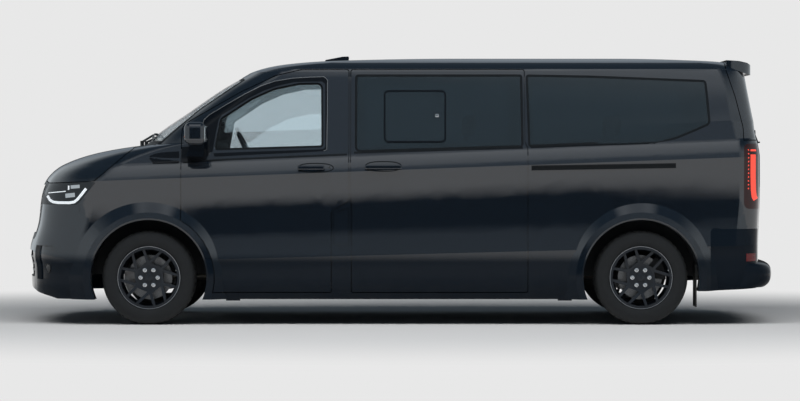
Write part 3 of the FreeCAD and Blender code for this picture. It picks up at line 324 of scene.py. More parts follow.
@dataclass(frozen=True)
class Paint(Finish):
    """Gloss paint with a faint flake under a clear coat, and a light film of dust at the sills;
    below 0.47 m the coat fades out, a painted shade that keeps the lower body dark.
    """

    flake: float = 2600.0

    def shade(self, graph: Surface) -> None:
        """Feeds the shader.

        Args:
            graph: the material's tree.
        """
        cells = {"Vector": graph.place(), "Scale": self.flake}
        flake, cloud = graph.node("ShaderNodeTexVoronoi", {}, cells), graph.noise(1.7, 3.0)
        lit = graph.mix(flake.ramp(0.35, 0.0) * 0.25 + cloud * 0.15, self.colour, self.second)
        height = graph.along("Z")
        film = (0.5 - height).ramp(0.0, 0.35) * graph.noise(9.0, 6.0).ramp(0.35, 0.8)
        # painted shade: the clear coat fades out below 0.47 m, so the lower body mirrors less and
        # reads darker
        gloss = (height - 0.47).ramp(-0.03, 0.05) * 0.94 + 0.06
        graph.set(Base_Color=graph.mix(film * self.dust, lit, FILM),
                  Roughness=film * 0.25 + cloud * self.spread + self.roughness,
                  Coat_Weight=gloss * self.coat, Coat_Roughness=0.02, Coat_IOR=1.8)


@dataclass(frozen=True)
class Glass(Finish):
    """Clear or tinted pane glass with a faint smear."""

    ior: float = 1.45
    clear: float = 1.0
    body: float = 1.0

    def shade(self, graph: Surface) -> None:
        """Feeds the shader.

        Args:
            graph: the material's tree.
        """
        smear = graph.noise(5.0, 4.0, (1.0, 1.0, 0.4))
        graph.set(Base_Color=graph.mix(smear, self.colour, self.other(0.96)),
                  Roughness=smear.ramp(0.62, 0.9) * self.spread + self.roughness,
                  Transmission_Weight=self.clear, IOR=self.ior, Alpha=self.body)


@dataclass(frozen=True)
class Metal(Finish):
    """Bare or cast metal with fine turning marks round an axle, or a plain cast grain."""

    axle: Point | None = None
    rings: float = 700.0
    rust: float = 0.0

    def shade(self, graph: Surface) -> None:
        """Feeds the shader.

        Args:
            graph: the material's tree.
        """
        fine = graph.noise(self.grain, 3.0)
        if self.axle:
            fine = (graph.radius(self.axle) * self.rings).sine() * 0.5 + fine * 0.5
        stain = graph.noise(self.patch, 5.0).ramp(0.45, 0.75) * self.rust
        base = graph.mix(fine.ramp(0.2, 0.8), self.colour, self.other(0.75))
        graph.set(Base_Color=graph.mix(stain, base, RUST),
                  Roughness=fine * self.spread + stain * 0.3 + self.roughness,
                  Metallic=(1 - stain) * self.metallic)
        graph.bump(fine, self.depth)


@dataclass(frozen=True)
class Weave(Finish):
    """Seat cloth: two threads that cross, with a fleck."""

    thread: float = 0.0022

    def shade(self, graph: Surface) -> None:
        """Feeds the shader.

        Args:
            graph: the material's tree.
        """
        turn = math.tau / self.thread
        across = (graph.along("Y") * turn).sine()
        down = ((graph.along("Z") + graph.along("X") * 0.8) * turn).sine()
        cloth = across * down * 0.5 + 0.5
        fleck, worn = graph.noise(420.0, 2.0).ramp(0.5, 0.7), graph.noise(self.patch, 4.0)
        base = graph.mix(cloth * 0.6 + worn * 0.3, self.colour, self.other())
        graph.set(Base_Color=graph.mix(fleck * 0.35, base, FLECK),
                  Roughness=worn * 0.1 + self.roughness, Sheen_Weight=0.25)
        graph.bump(cloth, 0.0004, 0.6)


@dataclass(frozen=True)
class Lamp(Finish):
    """A lamp's plastic: ribbed by depth and lit from within by its own colour; on the rear
    reflector, which is no lamp, this glow is a painted glow.
    """

    glow: Colour = (0.0, 0.0, 0.0)
    ribs: float = 900.0
    strength: float = 1.0

    def shade(self, graph: Surface) -> None:
        """Feeds the shader.

        Args:
            graph: the material's tree.
        """
        rib = (graph.along("Z") * self.ribs).sine() * 0.5 + 0.5
        cloud = graph.noise(self.patch, 2.0)
        dim = tuple(0.6 * part for part in self.glow)
        graph.set(Base_Color=graph.mix(rib * 0.5 + cloud * 0.3, self.colour, self.other()),
                  Emission_Color=graph.mix(rib * 0.25, self.glow, dim),
                  Emission_Strength=self.strength,
                  Roughness=cloud * self.spread + self.roughness,
                  Metallic=self.metallic, Coat_Weight=self.coat)
        graph.bump(rib, self.depth)


@dataclass(frozen=True)
class TyreRubber(Finish):
    """Tyre rubber, greyer with fine dust on the tread than on the sidewall."""

    axle: Point = (0.0, 0.0, 0.0)

    def shade(self, graph: Surface) -> None:
        """Feeds the shader.

        Args:
            graph: the material's tree.
        """
        reach = graph.radius(self.axle)
        tread = reach.ramp(0.312, 0.33)
        dust = graph.noise(30.0, 5.0).ramp(0.3, 0.8)
        base = graph.mix(graph.noise(60.0, 4.0), self.colour, self.other())
        graph.set(Base_Color=graph.mix(tread * dust * 0.5, base, TREAD_DUST),
                  Roughness=tread * 0.15 + dust * 0.08 + self.roughness)
        ribs = (reach * 1400.0).sine() * (1 - tread)
        graph.bump(ribs * 0.3 + graph.noise(1500.0, 2.0), self.depth)


class Palette:
    """Every finish of the vehicle. A slot of the record gets the finish of its name."""

    paint = Paint("paint", (0.006, 0.011, 0.018), (0.010, 0.016, 0.025), roughness=0.035,
                  spread=0.02, specular=0.06, dust=0.03, coat=0.95)
    bumper = replace(paint, name="bumper_paint", roughness=0.06, spread=0.03, coat=0.05)
    gloss_black = Paint("gloss_black", (0.003, 0.0045, 0.007), (0.006, 0.008, 0.011),
                        roughness=0.08, spread=0.04, specular=0.25, dust=0.1)
    lens = Paint("lamp_lens", (0.010, 0.014, 0.018), (0.030, 0.036, 0.042), roughness=0.02)
    screen = Paint("screen_glass", (0.004, 0.006, 0.009), (0.008, 0.011, 0.016),
                   roughness=0.06, spread=0.03)
    clear_glass = Glass("clear_glass", (0.425, 0.62, 0.715), roughness=0.0, spread=0.02,
                        ior=1.5, body=0.4)
    dark_glass = Glass("dark_glass", (0.060, 0.094, 0.118), roughness=0.0, spread=0.03,
                       clear=0.74)
    plastic = Finish("black_plastic", (0.010, 0.012, 0.014), roughness=0.42, spread=0.12,
                     depth=0.0002, specular=0.4)
    underbody = Finish("underbody", (0.018, 0.020, 0.022), (0.035, 0.036, 0.036),
                       roughness=0.7, spread=0.2, grain=220.0, depth=0.0006, dust=0.5)
    liner = Finish("liner_plastic", (0.012, 0.015, 0.018), (0.026, 0.028, 0.030),
                   roughness=0.8, spread=0.15, grain=350.0, depth=0.0008, dust=0.35)
    flap = Finish("flap_rubber", (0.011, 0.012, 0.013), roughness=0.65, spread=0.1,
                  depth=0.0003, dust=0.5)
    cabin = Finish("cabin_plastic", (0.012, 0.014, 0.017), (0.022, 0.025, 0.029),
                   roughness=0.6, spread=0.12, grain=1400.0, depth=0.0003)
    tank = Finish("tank_plastic", (0.014, 0.015, 0.016), roughness=0.62, spread=0.15,
                  grain=500.0, depth=0.0004, dust=0.5)
    seal = Finish("seal_rubber", (0.0035, 0.005, 0.0065), roughness=0.5, spread=0.15,
                  specular=0.25)
    thread = Finish("seam_thread", (0.030, 0.034, 0.040), (0.055, 0.060, 0.068),
                    roughness=0.7, spread=0.1, grain=2500.0, depth=0.0003)
    carpet = Finish("floor_carpet", (0.012, 0.013, 0.015), (0.028, 0.030, 0.033),
                    roughness=0.92, grain=1300.0, depth=0.0009)
    cloth = Weave("seat_fabric", (0.012, 0.014, 0.017), (0.032, 0.036, 0.042),
                  roughness=0.85, patch=9.0)
    headliner = Weave("headliner_cloth", (0.11, 0.115, 0.12), (0.15, 0.155, 0.16),
                      roughness=0.9, patch=5.0)
    cast = Metal("cast_metal", (0.34, 0.34, 0.34), spread=0.2, metallic=0.9, grain=260.0,
                 depth=0.0006, rust=0.3, patch=18.0)
    steel = Metal("chassis_steel", (0.030, 0.031, 0.033), roughness=0.55, spread=0.2,
                  metallic=0.4, grain=320.0, depth=0.0005, rust=0.35, patch=11.0)
    pipe = Metal("exhaust_steel", (0.30, 0.28, 0.25), roughness=0.38, spread=0.2,
                 metallic=0.95, grain=380.0, depth=0.0004, rust=0.6, patch=7.0)
    rim = Metal("rim_black", (0.016, 0.021, 0.028), (0.009, 0.012, 0.017), roughness=0.28,
                spread=0.1, metallic=0.25, grain=700.0, depth=0.0001)
    disc = Metal("disc_steel", (0.20, 0.205, 0.21), roughness=0.3, spread=0.15,
                 metallic=1.0, depth=0.0003, rust=0.1, patch=25.0)
    chrome = Metal("bright_steel", (0.74, 0.76, 0.78), roughness=0.1, spread=0.06,
                   metallic=1.0, grain=500.0, depth=0.00005)
    lip = Metal("lip_line", (0.55, 0.57, 0.60), roughness=0.25, spread=0.1, metallic=0.8)
    strip = Metal("sill_strip", (0.30, 0.31, 0.32), roughness=0.35, spread=0.1,
                  metallic=0.8, grain=800.0, depth=0.00005)
    mirror = Metal("mirror_glass", (0.80, 0.84, 0.86), roughness=0.01, spread=0.01,
                   metallic=1.0)
    tail_lens = Lamp("tail_lens", (0.022, 0.002, 0.002), (0.010, 0.001, 0.001),
                     roughness=0.04, spread=0.03, coat=0.3, glow=(0.006, 0.0005, 0.0005),
                     depth=0.0001, specular=0.3)
    # painted glow: the reflector is no lamp; its faint red emission stands in for light it throws
    # back
    reflector = Lamp("red_reflector", (0.16, 0.006, 0.008), (0.08, 0.003, 0.004),
                     roughness=0.12, spread=0.05, glow=(0.01, 0.0, 0.0), ribs=1900.0,
                     depth=0.0003)
    white = Lamp("lit_white", (0.80, 0.84, 0.86), (0.70, 0.74, 0.78), roughness=0.2,
                 spread=0.1, glow=(0.75, 0.80, 0.84), ribs=1500.0, strength=0.55,
                 depth=0.0001)
    red = Lamp("lit_red", (0.75, 0.06, 0.035), (0.65, 0.04, 0.025), roughness=0.2,
               spread=0.1, glow=(1.0, 0.085, 0.050), ribs=600.0, strength=0.75,
               depth=0.0001)
    amber = Lamp("amber_lens", (0.42, 0.12, 0.015), (0.30, 0.08, 0.01), roughness=0.12,
                 spread=0.05, glow=(0.02, 0.006, 0.0), ribs=1500.0, depth=0.0002)


FINISHES = {finish.name: finish for finish in vars(Palette).values() if isinstance(finish, Finish)}


class Bench:
    """Modelling by Blender's operators, one piece at a time."""

    @staticmethod
    def clear() -> None:
        """Leaves edit mode and deselects everything."""
        active = bpy.context.view_layer.objects.active
        if active is not None and active.mode != "OBJECT":
            bpy.ops.object.mode_set(mode="OBJECT")
        bpy.ops.object.select_all(action="DESELECT")

    @staticmethod
    def take(piece: Piece) -> None:
        """Selects one piece alone.

        Args:
            piece: the piece.
        """
        Bench.clear()
        piece.select_set(True)
        bpy.context.view_layer.objects.active = piece

    @staticmethod
    def edit(piece: Piece, kind: str = "FACE") -> None:
        """Goes into edit mode with all of a piece selected.

        Args:
            piece: the piece.
            kind: VERT, EDGE or FACE.
        """
        Bench.take(piece)
        bpy.ops.object.mode_set(mode="EDIT")
        bpy.ops.mesh.select_mode(type=kind)
        bpy.ops.mesh.select_all(action="SELECT")

    @staticmethod
    def pick(piece: Piece, test: Callable[[Face], bool]) -> None:
        """Selects in edit mode the faces that pass a test, and no others.

        Args:
            piece: the piece in edit mode.
            test: what a face has to pass.
        """
        bpy.ops.mesh.select_mode(type="FACE")
        bpy.ops.mesh.select_all(action="DESELECT")
        mesh = bmesh.from_edit_mesh(piece.data)
        for face in [face for face in mesh.faces if test(face)]:
            face.select_set(True)
        bmesh.update_edit_mesh(piece.data)

    @staticmethod
    def press(rim: float, move: Point) -> None:
        """Insets the selected faces and moves their middle."""
        bpy.ops.mesh.inset(thickness=rim)
        bpy.ops.transform.translate(value=move)

    @staticmethod
    def sink(rim: float, depth: float, each: bool = False) -> None:
        """Insets the selected faces, each alone or all as one, and sinks their middle."""
        bpy.ops.mesh.inset(thickness=rim, depth=0.0, use_individual=each)
        bpy.ops.mesh.extrude_region_shrink_fatten(TRANSFORM_OT_shrink_fatten={"value": -depth})

    @staticmethod
    def apply(piece: Piece, kind: str, **settings: object) -> None:
        """Adds a modifier and applies it.

        Args:
            piece: the piece.
            kind: the modifier's type.
            settings: its properties.
        """
        Bench.take(piece)
        modifier = piece.modifiers.new(kind.lower(), kind)
        for key, value in settings.items():
            setattr(modifier, key, value)
        bpy.ops.object.modifier_apply(modifier=modifier.name)

    @staticmethod
    def settle(piece: Piece) -> None:
        """Puts a piece's place into its mesh."""
        Bench.take(piece)
        bpy.ops.object.transform_apply(location=True, rotation=True, scale=True)

    @staticmethod
    def flip(piece: Piece) -> None:
        """Turns a piece's faces over.

        Args:
            piece: the piece.
        """
        Bench.edit(piece)
        bpy.ops.mesh.flip_normals()
        Bench.clear()

    @staticmethod
    def box(name: str, low: Point, high: Point, bevel: float, steps: int = 4) -> Piece:
        """Adds a cube between two corners and rounds its edges.

        Args:
            name: the piece's name.
            low: lowest corner.
            high: highest corner.
            bevel: the rounding.
            steps: segments of the rounding.

        Returns:
            The piece.
        """
        Bench.clear()
        low_corner, high_corner = Vector(low), Vector(high)
        bpy.ops.mesh.primitive_cube_add(size=1.0, location=(low_corner + high_corner) / 2)
        made = bpy.context.object
        made.name = name
        made.scale = high_corner - low_corner
        Bench.settle(made)
        Bench.edit(made, "EDGE")
        bpy.ops.mesh.bevel(offset=bevel, segments=steps, affect="EDGES", clamp_overlap=True)
        Bench.clear()
        return made

    @staticmethod
    def spun(name: str, profile: Iterable[tuple[float, float]], centre: Point, steps: int,
             axis: Point = (0.0, 1.0, 0.0)) -> Piece:
        """Draws a closed profile by extruding a point, and spins it round an axis.

        Args:
            name: the piece's name.
            profile: (radius, distance along the axis) corners.
            centre: a point on the axis.
            steps: segments of a full turn.
            axis: the axis.

        Returns:
            The piece.
        """
        Bench.clear()
        line = Vector(axis).normalized()
        out = line.orthogonal().normalized() if abs(line.y) < 0.99 else Vector((1.0, 0.0, 0.0))
        corners = [Vector(centre) + out * radius + line * along for radius, along in profile]
        bpy.ops.mesh.primitive_plane_add(size=0.01, location=(0.0, 0.0, 0.0))
        made = bpy.context.object
        made.name = name
        Bench.edit(made, "VERT")
        bpy.ops.mesh.merge(type="CENTER")
        bpy.ops.transform.translate(value=corners[0])
        for before, here in zip(corners, corners[1:] + corners[:1]):
            bpy.ops.mesh.extrude_region_move(TRANSFORM_OT_translate={"value": here - before})
        bpy.ops.mesh.select_all(action="SELECT")
        bpy.ops.mesh.remove_doubles(threshold=1e-6)
        bpy.ops.mesh.spin(steps=steps, angle=math.tau, center=centre, axis=line)
        bpy.ops.mesh.select_all(action="SELECT")
        bpy.ops.mesh.remove_doubles(threshold=1e-5)
        bpy.ops.mesh.normals_make_consistent(inside=False)
        Bench.clear()
        return made

    @staticmethod
    def patch(name: str, first: list[Vector], second: list[Vector]) -> Piece:
        """Shapes a one-row grid into the sheet between two edges.

        Args:
            name: the piece's name.
            first: the points of one edge.
            second: as many points of the other.

        Returns:
            The piece.
        """
        Bench.clear()
        count = len(first)
        bpy.ops.mesh.primitive_grid_add(x_subdivisions=count - 1, y_subdivisions=1, size=1.0)
        made = bpy.context.object
        made.name = name
        for place, (here, there) in enumerate(zip(first, second)):
            made.data.vertices[place].co = here
            made.data.vertices[count + place].co = there
        Bench.settle(made)
        return made

    @staticmethod
    def lay(piece: Piece, onto: "str | Piece", way: Way, thickness: float, lift: float = 0.0,
            cuts: int = 0, reach: float = 1.2) -> None:
        """Lays a sheet on the outside of something and gives it thickness.

        What doesn't meet it within reach is cut away.

        Args:
            piece: a sheet off the surface.
            onto: the CAD node or piece it lies on.
            way: the direction it is pushed in.
            thickness: its thickness.
            lift: how far off the surface it lies.
            cuts: subdivisions before it is laid.
            reach: the longest way to the surface.
        """
        if cuts:
            Bench.edit(piece)
            bpy.ops.mesh.subdivide(number_cuts=cuts)
            Bench.clear()
        forward = sum(way.value) > 0
        axes = {f"use_project_{axis}": bool(part) for axis, part in zip("xyz", way.value)}
        before = [vertex.co.copy() for vertex in piece.data.vertices]
        Bench.apply(piece, "SHRINKWRAP", wrap_method="PROJECT", offset=lift,
                    use_negative_direction=not forward, use_positive_direction=forward,
                    target=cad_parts[onto] if isinstance(onto, str) else onto, **axes)
        Bench.edit(piece, "VERT")
        bpy.ops.mesh.select_all(action="DESELECT")
        mesh = bmesh.from_edit_mesh(piece.data)
        for vertex, start in zip(mesh.verts, before):
            vertex.select_set(not 0.0005 < (vertex.co - start).length < reach)
        bmesh.update_edit_mesh(piece.data)
        bpy.ops.mesh.delete(type="VERT")
        Bench.clear()
        push = Vector(way.value)
        if sum(face.normal.dot(push) * face.area for face in piece.data.polygons) > 0:
            Bench.flip(piece)
        Bench.apply(piece, "SOLIDIFY", thickness=thickness, offset=1.0)

    @staticmethod
    def band(name: str, path: list[Point], width: float, onto: "str | Piece", way: Way,
             thickness: float, lift: float = 0.0, cuts: int = 0) -> Piece:
        """Lays a band of even width on the outside of something.

        Args:
            name: the piece's name.
            path: the points of the band's middle, in a plane across the way.
            width: its width.
            onto: the CAD node or piece it lies on.
            way: the direction it is pushed in.
            thickness: its thickness.
            lift: how far off the surface it lies.
            cuts: subdivisions before it is laid.

        Returns:
            The piece.
        """
        points = [Vector(point) for point in path]
        normal = Vector([abs(part) for part in way.value])
        first, second = [], []
        for place, here in enumerate(points):
            run = points[min(place + 1, len(points) - 1)] - points[max(place - 1, 0)]
            out = run.normalized().cross(normal) * (width / 2)
            first.append(here - out)
            second.append(here + out)
        made = Bench.patch(name, first, second)
        Bench.lay(made, onto, way, thickness, lift, cuts)
        return made

    @staticmethod
    def touch(node: str, x: float, z: float) -> tuple[Vector, Vector]:
        """Finds the left side's surface at a place.

        Args:
            node: the CAD node.
            x: the place along the vehicle.
            z: its height.

        Returns:
            The point and the surface's normal there.
        """
        start, right = Vector((x, OUTSIDE, z)), Vector(Way.RIGHT.value)
        hit, point, normal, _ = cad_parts[node].ray_cast(start, right)
        if not hit:
            raise ValueError(f"{node} isn't met from {start}")
        return point, normal

    @staticmethod
    def skin(name: str, node: str, test: Callable[[Face], bool]) -> Piece:
        """Copies the faces of a CAD node that pass a test, merged.

        Args:
            name: the copy's name.
            node: the node.
            test: what a face has to pass to be kept.

        Returns:
            The copy.
        """
        Bench.clear()
        made = bpy.data.objects.new(name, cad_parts[node].data.copy())
        made.data.materials.clear()
        bpy.context.collection.objects.link(made)
        Bench.edit(made)
        bpy.ops.mesh.remove_doubles(threshold=1e-5)
        Bench.pick(made, lambda face: not test(face))
        bpy.ops.mesh.delete(type="FACE")
        bpy.ops.mesh.customdata_custom_splitnormals_clear()
        Bench.clear()
        if not made.data.polygons:
            raise ValueError(f"{node} has no face for {name}")
        return made

    @staticmethod
    def merge(name: str, pieces: list[Piece]) -> Piece:
        """Joins pieces of one finish into one.

        Args:
            name: the joined piece's name.
            pieces: what is joined.

        Returns:
            The joined piece.
        """
        Bench.clear()
        for piece in pieces:
            piece.select_set(True)
        bpy.context.view_layer.objects.active = pieces[0]
        bpy.ops.object.join()
        made = bpy.context.view_layer.objects.active
        made.name = name
        return made

    @staticmethod
    def copy(piece: Piece, name: str, place: Matrix) -> Piece:
        """Copies a piece with its own mesh to another place.

        Args:
            piece: the piece.
            name: the copy's name.
            place: the change of place, put into the mesh.

        Returns:
            The copy.
        """
        made = bpy.data.objects.new(name, piece.data.copy())
        bpy.context.collection.objects.link(made)
        made.data.transform(place)
        if place.determinant() < 0:
            Bench.flip(made)
        return made

    @staticmethod
    def finish(piece: Piece, finish: Finish, body: str, slot: str, angle: float = 35.0) -> None:
        """Smooths, colours and attaches a finished piece.

        Args:
            piece: the piece.
            finish: its surface.
            body: the CAD body it rides on.
            slot: the record's material slot, not used.
            angle: edges sharper than this stay sharp.
        """
        Bench.take(piece)
        bpy.ops.object.shade_smooth_by_angle(angle=math.radians(angle))
        Bench.clear()
        piece.data.materials.clear()
        piece.data.materials.append(finish.material())
        piece.data.name = piece.name
        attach(piece, body)
        LOG.info("made %s: %d faces on %s", piece.name, len(piece.data.polygons), body)


@dataclass
class Studio:
    """Camera, floor, backdrop and lamp."""

    lens: float = 139.4
    pitch: float = math.radians(89.16)
    backdrop: Colour = (0.807, 0.807, 0.807)
    ambient: Colour = (0.050, 0.066, 0.080)
    overhead: Colour = (0.08, 0.10, 0.12)
    ends: tuple[Colour, Colour] = ((0.67, 0.73, 0.77), (0.06, 0.08, 0.10))
    heights: tuple[tuple[float, Colour], ...] = (
        (0.0, (0.03, 0.03, 0.03)), (0.055, (0.03, 0.03, 0.03)), (0.085, (0.22, 0.25, 0.28)),
        (0.16, (0.25, 0.29, 0.33)), (0.46, (0.31, 0.36, 0.42)), (0.56, (0.76, 0.81, 0.86)),
        (0.90, (1.15, 1.2, 1.25)), (0.985, (0.08, 0.10, 0.12)))
    dark_half: float = 0.14
    dark_edge: float = 0.34
    floor_colours: tuple[Colour, Colour] = ((0.70, 0.70, 0.70), (0.68, 0.68, 0.68))
    floor_mirrored: Colour = (0.025, 0.025, 0.025)
    floor_reach: float = 90.0
    fade_oval: Point = (0.68, 1.0, 0.0)
    fade: tuple[float, float] = (2.3, 5.4)
    dim: tuple[float, float] = (9.5, 18.0)
    lamp_at: Point = (0.0, -3.8, 7.0)
    lamp_aim: Point = (0.0, -1.0, 0.0)
    lamp_size: tuple[float, float] = (16.0, 4.0)
    lamp_radiance: float = 3.7

    def camera(self) -> None:
        """Sets the camera at the photo's place."""
        data = bpy.data.cameras.new("camera")
        data.lens = self.lens
        data.clip_end = 300.0
        made = bpy.data.objects.new("camera", data)
        made.location = EYE
        made.rotation_euler = (self.pitch, 0.0, 0.0)
        bpy.context.collection.objects.link(made)
        bpy.context.scene.camera = made

    def world(self) -> None:
        """Plain pale surround; what paint mirrors is dark near the horizon on both sides."""
        world = bpy.data.worlds.new("studio")
        bpy.context.scene.world = world
        world.use_nodes = True
        graph = Graph(world.node_tree)
        sky = graph.node("ShaderNodeTexCoord", {}, {}, "Generated")
        across, depth, level = (
            graph.node("ShaderNodeSeparateXYZ", {}, {0: sky}, axis) for axis in "XYZ")
        rise = graph.node("ShaderNodeValToRGB", {"stops": self.heights}, {0: level})
        ceiling = graph.mix(level.ramp(0.45, 0.6) * depth.ramp(0.0, 0.25), rise, self.overhead)
        ends = graph.mix(level.ramp(0.45, 0.8), *self.ends)
        aside = across.absolute().ramp(self.dark_half, self.dark_edge)
        glossy = graph.node("ShaderNodeMix", {"data_type": "RGBA", "blend_type": "MULTIPLY"},
                            {0: 1.0, 6: graph.mix(aside, ceiling, ends), 7: self.backdrop}, 2)
        seen_rays, mirrored_rays = graph.rays()
        around = graph.mix(seen_rays, self.ambient, self.backdrop)
        ground = graph.tree.nodes["Background"]
        graph.feed(ground.inputs["Color"], graph.mix(mirrored_rays, around, glossy))
        graph.feed(ground.inputs["Strength"], 1.0)

    def floor(self) -> None:
        """Pale floor that fades into the backdrop away from the vehicle; far off to the sides,
        glossy rays see it near black, a painted dark reflection.
        """
        bpy.ops.mesh.primitive_plane_add(size=2 * self.floor_reach, location=(0.0, 0.0, 0.0))
        made = bpy.context.object
        made.name = "floor"
        graph = Surface("floor_pale")
        graph.set(Base_Color=graph.mix(graph.noise(0.4, 3.0) * 0.3, *self.floor_colours),
                  Roughness=0.9, Specular_IOR_Level=0.1)
        reach = graph.vector("LENGTH", graph.place())
        oval = graph.vector("MULTIPLY", graph.place(), self.fade_oval, output="Vector")
        far = graph.vector("LENGTH", oval).ramp(*self.fade)
        seen_rays, mirrored_rays = graph.rays()
        aside = (graph.along("X") / reach).absolute()
        # painted reflection: the far floor to the sides is shown near black to glossy rays only,
        # for dark reflections in the paint
        dim = reach.ramp(*self.dim) * aside.ramp(self.dark_edge, self.dark_half)
        colour = graph.mix(mirrored_rays * dim, self.backdrop, self.floor_mirrored)
        glow = graph.node("ShaderNodeEmission", {}, {"Color": colour})
        matt = Shade(graph, graph.shader.outputs[0])
        shown = far * (seen_rays + mirrored_rays)
        blend = graph.node("ShaderNodeMixShader", {}, {0: shown, 1: matt, 2: glow})
        graph.feed(graph.end.inputs["Surface"], blend)
        made.data.materials.append(graph.material)

    def lamp(self) -> None:
        """One wide soft lamp overhead, ahead of the camera's side."""
        data = bpy.data.lights.new("lamp_top", "AREA")
        data.shape = "RECTANGLE"
        data.size, data.size_y = self.lamp_size
        data.energy = self.lamp_radiance * math.pi * data.size * data.size_y
        made = bpy.data.objects.new("lamp_top", data)
        made.location = self.lamp_at
        line = Vector(self.lamp_at) - Vector(self.lamp_aim)
        made.rotation_euler = line.to_track_quat("Z", "Y").to_euler()
        made.visible_glossy = False
        bpy.context.collection.objects.link(made)

    def build(self) -> None:
        """Makes the whole studio."""
        bpy.context.scene.view_settings.view_transform = "Standard"
        self.camera()
        self.world()
        self.floor()
        self.lamp()


class CadDress:
    """Finishes of the CAD nodes."""

    @staticmethod
    def chosen(name: str, slot: str) -> Finish | None:
        """The finish of a node.

        Args:
            name: the node's name.
            slot: its material slot.

        Returns:
            The finish, or nothing for a tyre, which its tread replaces.
        """
        if name == "rear_bumper":
            return Palette.bumper
        if slot != Palette.disc.name:
            return FINISHES.get(slot)
        low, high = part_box(name)
        centre = (Vector(low) + Vector(high)) / 2
        return replace(Palette.disc, name=f"{slot}_{name}", axle=(centre.x, 0.0, centre.z))

    def dress(self) -> None:
        """Gives every node its finish."""
        dressed = 0
        for name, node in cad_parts.items():
            finish = self.chosen(name, node.data.materials[0].name.split(".")[0])
            if finish:
                node.data.materials[0] = finish.material()
                dressed += 1
        LOG.info("dressed %d CAD nodes", dressed)


def seen(px: float, py: float, depth: float = 0.0) -> Point:
    """A point of the side view, in metres, from its place in the photo.

    Args:
        px: pixels from the left.
        py: pixels from the top.
        depth: metres behind the vehicle's widest plane.

    Returns:
        X and Z of the point, with Y well outside the left side.
    """
    scale = PIXEL * (1 + depth / SIDE_AWAY)
    return ((px - EYE_PIXEL[0]) * scale + EYE[0], OUTSIDE, EYE[2] - (py - EYE_PIXEL[1]) * scale)


def spread(start: float, step: float, count: int) -> list[float]:
    """Even steps from a start."""
    return [start + step * number for number in range(count)]


